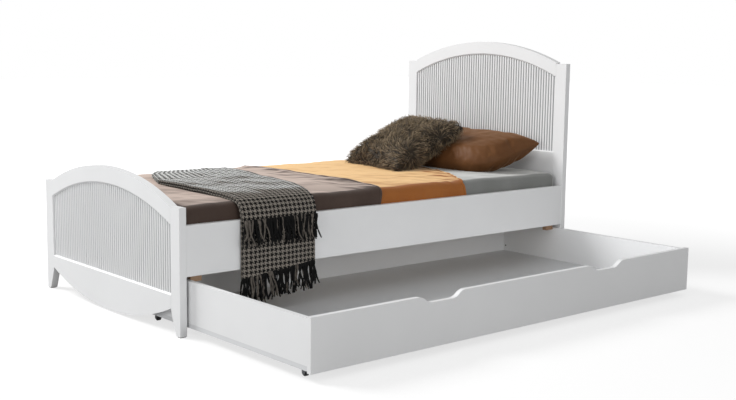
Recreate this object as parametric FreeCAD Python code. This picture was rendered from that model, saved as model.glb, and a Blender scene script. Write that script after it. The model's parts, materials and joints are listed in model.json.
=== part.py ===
"""Trundle bed with an arched headboard and footboard, a drawer on castors and its bedding.

Millimetres. X runs along the bed from the footboard (-X) to the headboard (+X), -Y is the side
where the drawer rolls out, and Z is up from the floor. Everything is drawn about the middle of the
bed and moved by BED_Y at the end, so that the origin is the middle of the whole footprint with the
drawer rolled out. Each function returns the sub-parts of one assembly by name.
"""
import FreeCAD, Part
import math
import os

from FreeCAD import Vector

# Bed frame
RAIL_LENGTH = 2000.0        # clear length between the two end frames, for a 2 m mattress
HALF_LENGTH = RAIL_LENGTH / 2
HALF_WIDTH = 525.0          # outer face of the posts
FRAME_THICKNESS = 28.0      # both end frames
POST_WIDTH = 60.0
POST_INNER = HALF_WIDTH - POST_WIDTH
GLIDE_HEIGHT = 3.0
FOOT_SHOULDER = 95.0        # height at which the foot's inner edge starts to taper
FOOT_MID = (482.0, 43.0)    # the taper is slightly hollow here
FOOT_TOE = 500.0            # inner edge of the foot at the floor
BELLY_LOW = 4.5             # lowest point of the curved lower edge between the feet
RAIL_OUTER = 524.0
RAIL_THICKNESS = 22.0
RAIL_INNER = RAIL_OUTER - RAIL_THICKNESS
RAIL_BOTTOM = 212.0
RAIL_TOP = 392.0
EDGE_ROUND = 1.5            # eased edges of the painted boards

# Footboard and headboard: heights of the post, of the arch's two arcs, and of the panel's sill
FOOTBOARD = {"post": 454.0, "outer": (455.0, 552.0), "inner": (387.0, 486.0), "sill": 147.0}
HEADBOARD = {"post": 948.0, "outer": (954.0, 1047.0), "inner": (886.0, 986.0), "sill": 546.0}
PANEL_RECESS = 6.0          # the crests of the reeds behind the frame's face
PANEL_BACK = 22.0
REED_COUNT = 60
REED_PITCH = 2 * POST_INNER / REED_COUNT
REED_RISE = 5.5
GROOVE_WIDTH = 3.6
OPENING_CHAMFER = 5.0
DOWEL_RADIUS = 4.0
DOWEL_LENGTH = 40.0
DOWEL_SPACING = 110.0       # largest distance between the dowels of the lower board
GLIDE_INSET = 3.0

# Slatted base
SLAT_COUNT = 14
SLAT_WIDTH = 70.0
SLAT_THICKNESS = 18.0
SLAT_HALF_LENGTH = 499.0
LEDGE_BOTTOM = 240.0
LEDGE_TOP = 262.0
LEDGE_DEPTH = 30.0
LEDGE_HALF_LENGTH = 948.0
LEDGE_SCREW_COUNT = 8
LEDGE_SCREW_RISE = 6.0      # above the ledge's lower face
SLAT_SCREW_LENGTH = 27.0
RAIL_BITE = 14.0            # depth that ledge and stop-block screws go into the rail
DECK_TOP = LEDGE_TOP + SLAT_THICKNESS

# Wood screws
HEAD_RADIUS = 4.0
HEAD_HEIGHT = 3.0
SHANK_RADIUS = 2.0

# Corner brackets and stop blocks
BRACKET_Z = (228.0, 258.0)
BRACKET_LEG = 45.0
BRACKET_SHEET = 3.0
BRACKET_RAIL_HOLES = (14.0, 33.0)
BRACKET_POST_HOLES = (14.0, 30.0)
BRACKET_RAIL_SHANK = 17.0
BRACKET_POST_SHANK = 20.0
STOP_X = (926.0, 971.0)
STOP_Y = (-RAIL_INNER, -480.0)
STOP_Z = (188.0, 226.0)
STOP_SCREW_INSET = (10.0, 7.0)

# Drawer, as rolled out
BOARD = 18.0
DRAWER_HALF = 991.0
DRAWER_FRONT_Y = -1211.0
DRAWER_BACK_Y = -184.0
DRAWER_FRONT_Z = (26.0, 202.0)
DRAWER_SIDE_TOP = 197.0
DRAWER_BASE_Z = (32.0, 48.0)
NOTCH_CENTRE = 440.0
NOTCH_TOP_HALF = 110.0
NOTCH_FLAT_HALF = 45.0
NOTCH_DEPTH = 24.0
DRAWER_SCREW_LENGTH = 45.0
SIDE_SCREW_SHARES = (0.12, 0.37, 0.63, 0.88)
BACK_SCREW_X = (160.0, 480.0, 800.0)
CORNER_SCREW_Z = (85.0, 160.0)
CORNER_SCREW_LENGTH = 50.0
FRONT_DOWEL_RADIUS = 3.0
FRONT_DOWEL_LENGTH = 36.0
FRONT_DOWEL_DEPTH = 6.0     # from the front's outer face to the dowels
SIDE_DOWEL_Z = (75.0, 120.0, 165.0)
BASE_DOWEL_X = (0.0, 400.0, 800.0)
PLUG_YZ = (-215.0, 72.0)
PLUG_RADIUS = 3.5
PLUG_LENGTH = 8.0
PLUG_PROUD = 0.5

# Castors
WHEEL_RADIUS = 13.0
WHEEL_HALF_WIDTH = 7.0
AXLE_RADIUS = 2.0
AXLE_CLEARANCE = 0.05
CASTOR_X = (-955.0, 0.0, 955.0)
CASTOR_Y = (-1140.0, -250.0)
CASTOR_NAMES = ("foot", "middle", "head")
PLATE_SHEET = 2.0
PLATE_HALF = (17.0, 20.0)
PLATE_HOLES = (13.0, 15.0)
EAR_INNER = 8.0
EAR_SHEET = 1.5
EAR_HALF_WIDTH = 8.0
RIVET_HEAD = (1.0, 3.2)     # height and radius

# Bedding
MATTRESS_HALF_WIDTH = 494.0
MATTRESS_TOP = 446.0
MATTRESS_ROUND = 26.0
SHEET = 2.0
COVER = 3.0
COVER_SEAM_X = -72.0                       # the brown cover ends and the orange one begins
ORANGE_EDGE_NEAR_X = 385.0                 # the orange cover's head-side edge runs at a slant
ORANGE_EDGE_FAR_X = 640.0
COVER_HANG_Z = 300.0                       # lower edge of the covers on the bed's sides
END_GAP = 4.0                              # between the mattress and each end frame
THROW_LAYER = 5.0
THROW_GAP = 0.3
THROW_X = (-778.0, -450.0)                 # the hanging part
THROW_LEFT = ((-778, -465), (-770, -160), (-765, 70), (-679, 268), (-605, 355))
THROW_RIGHT = ((-266, 350), (-368, -283), (-440, -465))
THROW_CLEARANCE = 3.0                      # between the rail's face and the hanging throw
LOWER_HEM = (176.0, 210.0)                 # heights of the lower layer's hem, foot side and head side
UPPER_HEM = 387.0
LOWER_FRINGE_TIP = 100.0
UPPER_FRINGE_TIP = 288.0
FRINGE_INSET = (4.0, 1.0)
PILLOW_RIM = 0.12                          # share of a pillow's thickness left at its edges
PILLOW_SIZE = (390.0, 690.0, 135.0)        # length up the slope, width, thickness
PILLOW_TILT = 16.0                         # degrees up toward the headboard
PILLOW_TURN = -2.0                         # degrees about Z
PILLOW_CENTRE = Vector(785, -75, 529.5)
CUSHION_SIZE = (430.0, 440.0, 120.0)
CUSHION_TILT = 26.0
CUSHION_TURN = -8.0
CUSHION_CENTRE = Vector(555, 70, 560)

BED_Y = -(DRAWER_FRONT_Y + HALF_WIDTH) / 2


def box(x, y, z):
    """Returns the box between the given pairs of limits."""
    size = [abs(pair[1] - pair[0]) for pair in (x, y, z)]
    return Part.makeBox(*size, Vector(min(x), min(y), min(z)))


def face_of(*edges):
    """Returns the flat face inside a closed loop of edges."""
    return Part.Face(Part.Wire(list(edges)))


def line(a, b):
    """Returns a straight edge."""
    return Part.LineSegment(a, b).toShape()


def arc(a, middle, b):
    """Returns the arc through three points."""
    return Part.Arc(a, middle, b).toShape()


def polygon(points):
    """Returns the flat face inside straight edges through the points."""
    return Part.Face(Part.makePolygon(list(points) + [points[0]]))


def rod(start, direction, length, radius):
    """Returns a cylinder from a start point."""
    return Part.makeCylinder(radius, length, start, direction)


def eased(shape, radius=EDGE_ROUND):
    """Returns a board with all its straight edges eased."""
    return shape.makeFillet(radius, shape.Edges)


def drilled(shape, tools):
    """Returns the shape with the tools cut out of it."""
    return shape.cut(tools) if tools else shape


def group(solids):
    """Returns separate solids as one sub-part."""
    return Part.makeCompound(list(solids))


def both(values):
    """Returns the values on both sides of the middle, negative first."""
    return [-value for value in values] + list(values)


def mirrored(side, low, high):
    """Returns a pair of limits on the given side of the middle."""
    return sorted((side * low, side * high))


# End frames ---------------------------------------------------------------------------------------

def post(x0, side, top):
    """Returns one leg of an end frame, with its hollow inward taper at the foot."""
    outer, inner = side * HALF_WIDTH, side * POST_INNER
    corners = [
        Vector(x0, outer, GLIDE_HEIGHT),
        Vector(x0, outer, top),
        Vector(x0, inner, top),
        Vector(x0, inner, FOOT_SHOULDER),
    ]
    toe = Vector(x0, side * FOOT_TOE, GLIDE_HEIGHT)
    hollow = Vector(x0, side * FOOT_MID[0], FOOT_MID[1])
    edges = [line(a, b) for a, b in zip(corners, corners[1:])]
    edges += [arc(corners[-1], hollow, toe), line(toe, corners[0])]
    leg = face_of(*edges).extrude(Vector(FRAME_THICKNESS, 0, 0))
    upright = [edge for edge in leg.Edges if edge.Length > top - FOOT_SHOULDER - 1]
    return leg.makeFillet(EDGE_ROUND, upright)


def arc_pair(x0, heights):
    """Returns the ends and the peak of an arc across the opening."""
    end, peak = heights
    return Vector(x0, -POST_INNER, end), Vector(x0, 0, peak), Vector(x0, POST_INNER, end)


def front_edge(shape, x0, height):
    """Returns the edges in the frame's face whose middle is at the given height."""
    found = []
    for edge in shape.Edges:
        middle = edge.valueAt((edge.FirstParameter + edge.LastParameter) / 2)
        if abs(middle.x - x0) < 0.1 and abs(middle.y) < 1 and abs(middle.z - height) < 0.1:
            found.append(edge)
    return found


def arch_rail(x0, heights):
    """Returns the arched top rail, chamfered round the panel's opening."""
    low_a, low_peak, low_b = arc_pair(x0, heights["inner"])
    high_a, high_peak, high_b = arc_pair(x0, heights["outer"])
    outline = face_of(
        arc(low_a, low_peak, low_b),
        line(low_b, high_b),
        arc(high_b, high_peak, high_a),
        line(high_a, low_a),
    )
    rail = outline.extrude(Vector(FRAME_THICKNESS, 0, 0))
    return rail.makeChamfer(OPENING_CHAMFER, front_edge(rail, x0, heights["inner"][1]))


def lower_board(x0, sill):
    """Returns the board below the reeded panel, with its curved lower edge."""
    left, low, right = arc_pair(x0, (FOOT_SHOULDER, BELLY_LOW))
    top_right = Vector(x0, POST_INNER, sill)
    top_left = Vector(x0, -POST_INNER, sill)
    outline = face_of(
        arc(left, low, right),
        line(right, top_right),
        line(top_right, top_left),
        line(top_left, left),
    )
    board = outline.extrude(Vector(FRAME_THICKNESS, 0, 0))
    return board.makeChamfer(OPENING_CHAMFER, front_edge(board, x0, sill))


def reed_edges(crest, valley, bottom):
    """Returns the edges across the panel's face: rounded reeds with a flat groove between each two."""
    half_groove = GROOVE_WIDTH / 2
    edges = []
    for index in range(REED_COUNT):
        start = -POST_INNER + index * REED_PITCH
        end = start + REED_PITCH
        ridge_a = Vector(valley, start + half_groove, bottom)
        ridge_top = Vector(crest, (start + end) / 2, bottom)
        ridge_b = Vector(valley, end - half_groove, bottom)
        edges.append(line(Vector(valley, start, bottom), ridge_a))
        edges.append(arc(ridge_a, ridge_top, ridge_b))
        edges.append(line(ridge_b, Vector(valley, end, bottom)))
    return edges


def reeded_panel(x0, heights):
    """Returns the panel of upright rounded reeds, cut to the arch."""
    crest = x0 + PANEL_RECESS
    valley = crest + REED_RISE
    bottom = heights["sill"]
    front_right = Vector(valley, POST_INNER, bottom)
    front_left = Vector(valley, -POST_INNER, bottom)
    back_right = Vector(x0 + PANEL_BACK, POST_INNER, bottom)
    back_left = Vector(x0 + PANEL_BACK, -POST_INNER, bottom)
    edges = reed_edges(crest, valley, bottom)
    edges += [line(front_right, back_right), line(back_right, back_left), line(back_left, front_left)]
    slab = face_of(*edges).extrude(Vector(0, 0, heights["inner"][1] - bottom + 1))
    left, peak, right = arc_pair(x0, heights["inner"])
    sill_right = Vector(x0, POST_INNER, bottom)
    sill_left = Vector(x0, -POST_INNER, bottom)
    outline = face_of(
        arc(left, peak, right),
        line(right, sill_right),
        line(sill_right, sill_left),
        line(sill_left, left),
    )
    return slab.common(outline.extrude(Vector(FRAME_THICKNESS, 0, 0)))


def end_dowels(x0, heights):
    """Returns the dowels that join an end frame's rail and board to its posts."""
    inner_end, outer_end = heights["inner"][0], heights["outer"][0]
    levels = [inner_end + (outer_end - inner_end) * share for share in (0.3, 0.7)]
    rows = max(2, int((heights["sill"] - FOOT_SHOULDER) // DOWEL_SPACING))
    step = (heights["sill"] - FOOT_SHOULDER) / (rows + 1)
    levels += [FOOT_SHOULDER + step * (row + 1) for row in range(rows)]
    dowels = []
    for side in (-1, 1):
        start_y = side * POST_INNER - DOWEL_LENGTH / 2
        for level in levels:
            start = Vector(x0 + FRAME_THICKNESS / 2, start_y, level)
            dowels.append(rod(start, Vector(0, 1, 0), DOWEL_LENGTH, DOWEL_RADIUS))
    return dowels


def glides(x0):
    """Returns the two pads under an end frame's feet."""
    along = (x0 + GLIDE_INSET, x0 + FRAME_THICKNESS - GLIDE_INSET)
    pads = []
    for side in (-1, 1):
        across = mirrored(side, FOOT_TOE + GLIDE_INSET, HALF_WIDTH - GLIDE_INSET)
        pads.append(box(along, across, (0, GLIDE_HEIGHT)))
    return pads


def end_frame(name, x0, heights, screws):
    """Returns the sub-parts of the footboard or the headboard."""
    dowels = end_dowels(x0, heights)
    holes = dowels + screws
    return {
        name + "_post_near": drilled(post(x0, -1, heights["post"]), holes),
        name + "_post_far": drilled(post(x0, 1, heights["post"]), holes),
        name + "_arch_rail": drilled(arch_rail(x0, heights), dowels),
        name + "_reeded_panel": reeded_panel(x0, heights),
        name + "_lower_board": drilled(lower_board(x0, heights["sill"]), holes),
        name + "_dowels": group(dowels),
        name + "_glides": group(glides(x0)),
    }


# Rails and slatted base ---------------------------------------------------------------------------

def screw(start, direction, shank, head_radius=HEAD_RADIUS, shank_radius=SHANK_RADIUS, head=HEAD_HEIGHT):
    """Returns a screw whose head lies against the start point and whose shank goes on from it."""
    cap = rod(start - direction * head, direction, head, head_radius)
    return cap.fuse(rod(start, direction, shank, shank_radius)).removeSplitter()


def flush_screw(start, direction, length):
    """Returns a screw sunk flush with the surface at the start point."""
    return screw(start + direction * HEAD_HEIGHT, direction, length - HEAD_HEIGHT)


def ledge_screws(side):
    """Returns the screws that hold one slat ledge to its rail."""
    step = 2 * LEDGE_HALF_LENGTH / LEDGE_SCREW_COUNT
    level = LEDGE_BOTTOM + LEDGE_SCREW_RISE
    found = []
    for index in range(LEDGE_SCREW_COUNT):
        x = -LEDGE_HALF_LENGTH + step * (index + 0.5)
        start = Vector(x, side * (RAIL_INNER - LEDGE_DEPTH), level)
        found.append(flush_screw(start, Vector(0, side, 0), LEDGE_DEPTH + RAIL_BITE))
    return found


def slat_positions():
    """Returns the middle of each slat along the bed."""
    first = -LEDGE_HALF_LENGTH + SLAT_WIDTH / 2
    step = -2 * first / (SLAT_COUNT - 1)
    return [first + step * index for index in range(SLAT_COUNT)]


def slat_screws():
    """Returns the screw at each end of every slat."""
    found = []
    for x in slat_positions():
        for side in (-1, 1):
            start = Vector(x, side * (RAIL_INNER - LEDGE_DEPTH / 2), DECK_TOP)
            found.append(flush_screw(start, Vector(0, 0, -1), SLAT_SCREW_LENGTH))
    return found


def stop_screws():
    """Returns the screws that hold the two stop blocks to the near rail."""
    inset_x, inset_z = STOP_SCREW_INSET
    length = STOP_Y[1] - STOP_Y[0] + RAIL_BITE
    found = []
    for side in (-1, 1):
        for x in (STOP_X[0] + inset_x, STOP_X[1] - inset_x):
            start = Vector(side * x, STOP_Y[1], STOP_Z[1] - inset_z)
            found.append(flush_screw(start, Vector(0, -1, 0), length))
    return found


def corner_bracket(end, side):
    """Returns the steel angle that joins a rail to an end frame."""
    rail_leg = box(
        mirrored(end, HALF_LENGTH - BRACKET_LEG, HALF_LENGTH),
        mirrored(side, RAIL_INNER - BRACKET_SHEET, RAIL_INNER),
        BRACKET_Z,
    )
    frame_leg = box(
        mirrored(end, HALF_LENGTH - BRACKET_SHEET, HALF_LENGTH),
        mirrored(side, RAIL_INNER - BRACKET_LEG, RAIL_INNER),
        BRACKET_Z,
    )
    return rail_leg.fuse(frame_leg).removeSplitter()


def bracket_screws(end, side):
    """Returns a corner bracket's screws: two into the rail and two into the end frame's post."""
    level = sum(BRACKET_Z) / 2
    into_rail, into_frame = [], []
    for offset in BRACKET_RAIL_HOLES:
        start = Vector(end * (HALF_LENGTH - offset), side * (RAIL_INNER - BRACKET_SHEET), level)
        into_rail.append(screw(start, Vector(0, side, 0), BRACKET_RAIL_SHANK))
    for offset in BRACKET_POST_HOLES:
        start = Vector(end * (HALF_LENGTH - BRACKET_SHEET), side * (RAIL_INNER - offset), level)
        into_frame.append(screw(start, Vector(end, 0, 0), BRACKET_POST_SHANK))
    return into_rail, into_frame


def side_rail(side, holes):
    """Returns one long side rail."""
    across = mirrored(side, RAIL_INNER, RAIL_OUTER)
    board = box((-HALF_LENGTH, HALF_LENGTH), across, (RAIL_BOTTOM, RAIL_TOP))
    long_edges = [edge for edge in board.Edges if edge.Length > HALF_LENGTH]
    return drilled(board.makeFillet(EDGE_ROUND, long_edges), holes)


def slats(holes):
    """Returns the slats, drilled at both ends."""
    across = (-SLAT_HALF_LENGTH, SLAT_HALF_LENGTH)
    boards = []
    for x in slat_positions():
        board = box((x - SLAT_WIDTH / 2, x + SLAT_WIDTH / 2), across, (LEDGE_TOP, DECK_TOP))
        boards.append(drilled(eased(board), holes))
    return boards


def slat_base():
    """Returns the sub-parts between the end frames, and the screws that go into each end frame."""
    corners = [(end, side) for end in (-1, 1) for side in (-1, 1)]
    rail_screws, frame_screws = [], {-1: [], 1: []}
    for end, side in corners:
        into_rail, into_frame = bracket_screws(end, side)
        rail_screws += into_rail
        frame_screws[end] += into_frame
    near_screws, far_screws = ledge_screws(-1), ledge_screws(1)
    block_screws = stop_screws()
    deck_screws = slat_screws()
    ledge_x = (-LEDGE_HALF_LENGTH, LEDGE_HALF_LENGTH)
    ledge_y = (RAIL_INNER - LEDGE_DEPTH, RAIL_INNER)
    ledge_z = (LEDGE_BOTTOM, LEDGE_TOP)
    blocks = [drilled(box(mirrored(end, *STOP_X), STOP_Y, STOP_Z), block_screws) for end in (-1, 1)]
    bracket_holes = rail_screws + frame_screws[-1] + frame_screws[1]
    brackets = [drilled(corner_bracket(*corner), bracket_holes) for corner in corners]
    near_ledge = box(ledge_x, mirrored(-1, *ledge_y), ledge_z)
    far_ledge = box(ledge_x, ledge_y, ledge_z)
    parts = {
        "side_rail_near": side_rail(-1, rail_screws + near_screws + block_screws),
        "side_rail_far": side_rail(1, rail_screws + far_screws),
        "slat_ledge_near": drilled(near_ledge, near_screws + deck_screws),
        "slat_ledge_far": drilled(far_ledge, far_screws + deck_screws),
        "bed_slats": group(slats(deck_screws)),
        "slat_screws": group(deck_screws),
        "ledge_screws": group(near_screws + far_screws),
        "drawer_stop_blocks": group(blocks),
        "stop_block_screws": group(block_screws),
        "corner_brackets": group(brackets),
        "corner_bracket_screws": group(bracket_holes),
    }
    return parts, frame_screws


# Drawer -------------------------------------------------------------------------------------------

def notch_profile(centre, y, top):
    """Returns the edges of one hand notch, from left to right along the front's top edge."""
    run = (NOTCH_TOP_HALF - NOTCH_FLAT_HALF) / 2
    drop = NOTCH_DEPTH / 2
    radius = (run ** 2 + drop ** 2) / (2 * drop)
    half_turn = math.asin(run / radius) / 2
    bulge_x = radius * math.sin(half_turn)
    bulge_z = radius * (1 - math.cos(half_turn))

    def slope(sign):
        """Returns the points of the S-shaped side on the left (-1) or the right (1)."""
        lip = Vector(centre + sign * NOTCH_TOP_HALF, y, top)
        convex = Vector(lip.x - sign * bulge_x, y, top - bulge_z)
        turn = Vector(lip.x - sign * run, y, top - drop)
        root = Vector(centre + sign * NOTCH_FLAT_HALF, y, top - NOTCH_DEPTH)
        concave = Vector(root.x + sign * bulge_x, y, root.z + bulge_z)
        return lip, convex, turn, concave, root

    left = slope(-1)
    right = slope(1)
    return left[0], right[0], [
        arc(left[0], left[1], left[2]),
        arc(left[2], left[3], left[4]),
        line(left[4], right[4]),
        arc(right[4], right[3], right[2]),
        arc(right[2], right[1], right[0]),
    ]


def drawer_front():
    """Returns the drawer's front with its two hand notches."""
    y = DRAWER_FRONT_Y
    low, top = DRAWER_FRONT_Z
    start = Vector(-DRAWER_HALF, y, top)
    edges = []
    previous = start
    for centre in (-NOTCH_CENTRE, NOTCH_CENTRE):
        left, right, notch = notch_profile(centre, y, top)
        edges += [line(previous, left)] + notch
        previous = right
    low_right = Vector(DRAWER_HALF, y, low)
    low_left = Vector(-DRAWER_HALF, y, low)
    corners = [previous, Vector(DRAWER_HALF, y, top), low_right, low_left, start]
    edges += [line(a, b) for a, b in zip(corners, corners[1:])]
    return face_of(*edges).extrude(Vector(0, BOARD, 0))


def drawer_screws():
    """Returns the screws up through the drawer's base, and those at its two back corners."""
    low = DRAWER_BASE_Z[0]
    inner_front = DRAWER_FRONT_Y + BOARD
    side_run = DRAWER_BACK_Y - inner_front
    back_y = DRAWER_BACK_Y - BOARD / 2
    base_spots = [(x, back_y) for x in both(BACK_SCREW_X)]
    corner = []
    for side in (-1, 1):
        side_x = side * (DRAWER_HALF - BOARD / 2)
        base_spots += [(side_x, inner_front + side_run * share) for share in SIDE_SCREW_SHARES]
        for level in CORNER_SCREW_Z:
            start = Vector(side * DRAWER_HALF, back_y, level)
            corner.append(flush_screw(start, Vector(-side, 0, 0), CORNER_SCREW_LENGTH))
    base = [flush_screw(Vector(x, y, low), Vector(0, 0, 1), DRAWER_SCREW_LENGTH) for x, y in base_spots]
    return base, corner


def front_dowels():
    """Returns the dowels between the drawer's front and its sides and base."""
    start_y = DRAWER_FRONT_Y + FRONT_DOWEL_DEPTH
    side_x = DRAWER_HALF - BOARD / 2
    spots = [(side * side_x, level) for side in (-1, 1) for level in SIDE_DOWEL_Z]
    spots += [(x, sum(DRAWER_BASE_Z) / 2) for x in sorted(set(both(BASE_DOWEL_X)))]
    dowels = []
    for x, z in spots:
        start = Vector(x, start_y, z)
        dowels.append(rod(start, Vector(0, 1, 0), FRONT_DOWEL_LENGTH, FRONT_DOWEL_RADIUS))
    return dowels


def side_plugs():
    """Returns the dark plugs in the inner faces of the drawer's sides, near the back."""
    start_x = DRAWER_HALF - BOARD - PLUG_PROUD
    plugs = []
    for side in (-1, 1):
        start = Vector(side * start_x, *PLUG_YZ)
        plugs.append(rod(start, Vector(side, 0, 0), PLUG_LENGTH, PLUG_RADIUS))
    return plugs


def drawer():
    """Returns the drawer's boards and fasteners."""
    base_screws, corner_screws = drawer_screws()
    dowels = front_dowels()
    plugs = side_plugs()
    depth = (DRAWER_FRONT_Y + BOARD, DRAWER_BACK_Y)
    wall_z = (DRAWER_BASE_Z[1], DRAWER_SIDE_TOP)
    inner = DRAWER_HALF - BOARD
    holes = base_screws + corner_screws + dowels
    back = box((-inner, inner), (DRAWER_BACK_Y - BOARD, DRAWER_BACK_Y), wall_z)
    base = box((-DRAWER_HALF, DRAWER_HALF), depth, DRAWER_BASE_Z)
    parts = {
        "drawer_front": drilled(drawer_front(), dowels),
        "drawer_back": drilled(back, holes),
        "drawer_base": drilled(base, holes + castor_screws()),
        "drawer_base_screws": group(base_screws),
        "drawer_corner_screws": group(corner_screws),
        "drawer_front_dowels": group(dowels),
        "drawer_side_plugs": group(plugs),
    }
    for side, name in ((-1, "drawer_side_foot"), (1, "drawer_side_head")):
        board = box(mirrored(side, inner, DRAWER_HALF), depth, wall_z)
        parts[name] = drilled(board, holes + plugs)
    return parts


# Castors ------------------------------------------------------------------------------------------

def castor_places():
    """Returns the name and the place of each castor."""
    places = []
    for y, row in zip(CASTOR_Y, ("front", "back")):
        for x, name in zip(CASTOR_X, CASTOR_NAMES):
            places.append((row + "_" + name, Vector(x, y, WHEEL_RADIUS)))
    return places


def castor_screws():
    """Returns the four screws of every castor, up through its plate into the drawer's base."""
    found = []
    for _, place in castor_places():
        for dx in both([PLATE_HOLES[0]]):
            for dy in both([PLATE_HOLES[1]]):
                start = Vector(place.x + dx, place.y + dy, DRAWER_BASE_Z[0] - PLATE_SHEET)
                found.append(screw(start, Vector(0, 0, 1), 13, head_radius=2.8, shank_radius=1.5, head=1.5))
    return found


def castor_bracket(place, screws):
    """Returns a fixed castor's plate with its two ears."""
    top = DRAWER_BASE_Z[0]
    half_x, half_y = PLATE_HALF
    along = (place.x - half_x, place.x + half_x)
    across = (place.y - half_y, place.y + half_y)
    ear_y = (place.y - EAR_HALF_WIDTH, place.y + EAR_HALF_WIDTH)
    bracket = box(along, across, (top - PLATE_SHEET, top))
    for side in (-1, 1):
        inner = place.x + side * EAR_INNER
        outer = inner + side * EAR_SHEET
        ear = box((inner, outer), ear_y, (place.z, top - PLATE_SHEET))
        tip_start = Vector(min(inner, outer), place.y, place.z)
        tip = rod(tip_start, Vector(1, 0, 0), EAR_SHEET, EAR_HALF_WIDTH)
        bracket = bracket.fuse(ear.fuse(tip))
    axle_hole = rod(place - Vector(half_x, 0, 0), Vector(1, 0, 0), 2 * half_x, AXLE_RADIUS)
    return bracket.removeSplitter().cut([axle_hole] + screws)


def castor_axle(place):
    """Returns the riveted pin that a wheel turns on."""
    half = EAR_INNER + EAR_SHEET
    pin = rod(place - Vector(half, 0, 0), Vector(1, 0, 0), 2 * half, AXLE_RADIUS)
    for side in (-1, 1):
        pin = pin.fuse(rod(place + Vector(side * half, 0, 0), Vector(side, 0, 0), *RIVET_HEAD))
    return pin.removeSplitter()


def castor_wheel(place):
    """Returns a small solid wheel with dished faces, turned about its axle."""
    profile = [
        (AXLE_RADIUS + AXLE_CLEARANCE, WHEEL_HALF_WIDTH),
        (5.0, WHEEL_HALF_WIDTH),
        (5.8, WHEEL_HALF_WIDTH - 2),
        (9.6, WHEEL_HALF_WIDTH - 2),
        (10.4, WHEEL_HALF_WIDTH - 0.4),
        (WHEEL_RADIUS - 1.2, WHEEL_HALF_WIDTH - 0.4),
        (WHEEL_RADIUS, WHEEL_HALF_WIDTH - 1.8),
    ]
    half = [Vector(place.x + x, place.y + radius, place.z) for radius, x in profile]
    other = [Vector(place.x - x, place.y + radius, place.z) for radius, x in reversed(profile)]
    return polygon(half + other).revolve(place, Vector(1, 0, 0), 360)


def castors():
    """Returns the six castors: grouped brackets and axles, and each wheel by itself."""
    screws = castor_screws()
    places = castor_places()
    parts = {
        "castor_brackets": group(castor_bracket(place, screws) for _, place in places),
        "castor_axles": group(castor_axle(place) for _, place in places),
        "castor_screws": group(screws),
    }
    for name, place in places:
        parts["castor_wheel_" + name] = castor_wheel(place)
    return parts


# Bedding ------------------------------------------------------------------------------------------

def bed_block(x, half_width, top, bottom=DECK_TOP + 1):
    """Returns a mattress-shaped block with rounded long top edges."""
    radius = MATTRESS_ROUND + half_width - MATTRESS_HALF_WIDTH
    block = box(x, (-half_width, half_width), (bottom, top))
    long_top = []
    for edge in block.Edges:
        middle = edge.CenterOfMass
        if abs(middle.z - top) < 0.1 and abs(abs(middle.y) - half_width) < 0.1:
            long_top.append(edge)
    return block.makeFillet(radius, long_top)


def mattress():
    """Returns the mattress, its fitted sheet and the two covers as nested skins."""
    core_x = (-HALF_LENGTH + END_GAP, HALF_LENGTH - END_GAP)
    sheet_x = (core_x[0] - SHEET, core_x[1] + SHEET)
    core = bed_block(core_x, MATTRESS_HALF_WIDTH, MATTRESS_TOP)
    sheet_outer = bed_block(sheet_x, MATTRESS_HALF_WIDTH + SHEET, MATTRESS_TOP + SHEET)
    sheet_inner = bed_block(core_x, MATTRESS_HALF_WIDTH, MATTRESS_TOP, DECK_TOP)
    cover_half = MATTRESS_HALF_WIDTH + SHEET + COVER
    cover_top = MATTRESS_TOP + SHEET + COVER
    cover_x = (sheet_x[0], HALF_LENGTH)
    hollow_x = (cover_x[0] - 1, cover_x[1] + 1)
    inner_half, inner_top = MATTRESS_HALF_WIDTH + SHEET, MATTRESS_TOP + SHEET
    hollow = bed_block(hollow_x, inner_half, inner_top, COVER_HANG_Z - 1)
    long_cover = bed_block(cover_x, cover_half, cover_top, COVER_HANG_Z).cut(hollow)
    far = HALF_WIDTH + 1
    brown_zone = box((cover_x[0] - 1, COVER_SEAM_X), (-far, far), (0, cover_top + 1))
    orange_outline = [
        Vector(COVER_SEAM_X, -far, 0),
        Vector(ORANGE_EDGE_NEAR_X, -far, 0),
        Vector(ORANGE_EDGE_FAR_X, far, 0),
        Vector(COVER_SEAM_X, far, 0),
    ]
    orange_zone = polygon(orange_outline).extrude(Vector(0, 0, cover_top + 1))
    return {
        "mattress": core,
        "fitted_sheet": sheet_outer.cut(sheet_inner),
        "brown_cover": long_cover.common(brown_zone),
        "orange_cover": long_cover.common(orange_zone),
    }


def throw_section(offset, hem):
    """Returns the section of one throw layer over the bed's near edge, as points in the YZ plane."""
    top = MATTRESS_TOP + SHEET + COVER + THROW_GAP + offset
    face = -(RAIL_OUTER + THROW_CLEARANCE + offset)
    thick = THROW_LAYER
    inner = [
        (-460, top),
        (-470, top),
        (-503 - offset, top - 6),
        (face + 4, top - 38),
        (face, RAIL_TOP + 6),
        (face, hem),
    ]
    outer = [
        (face - thick, hem),
        (face - thick, RAIL_TOP + 6),
        (face + 4 - thick, top - 36),
        (-506 - offset, top - 6 + thick - 1),
        (-470, top + thick),
        (-460, top + thick),
    ]
    return inner + outer


def slanted_waste(hems):
    """Returns what lies below a hem that runs from one height to another."""
    (x0, x1), (left, right) = THROW_X, hems
    near = -HALF_WIDTH - 60
    bottom = min(hems) - 50
    corners = [(x0 - 1, left), (x1 + 1, right), (x1 + 1, bottom), (x0 - 1, bottom)]
    return polygon([Vector(x, near, z) for x, z in corners]).extrude(Vector(0, 61, 0))


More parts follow.
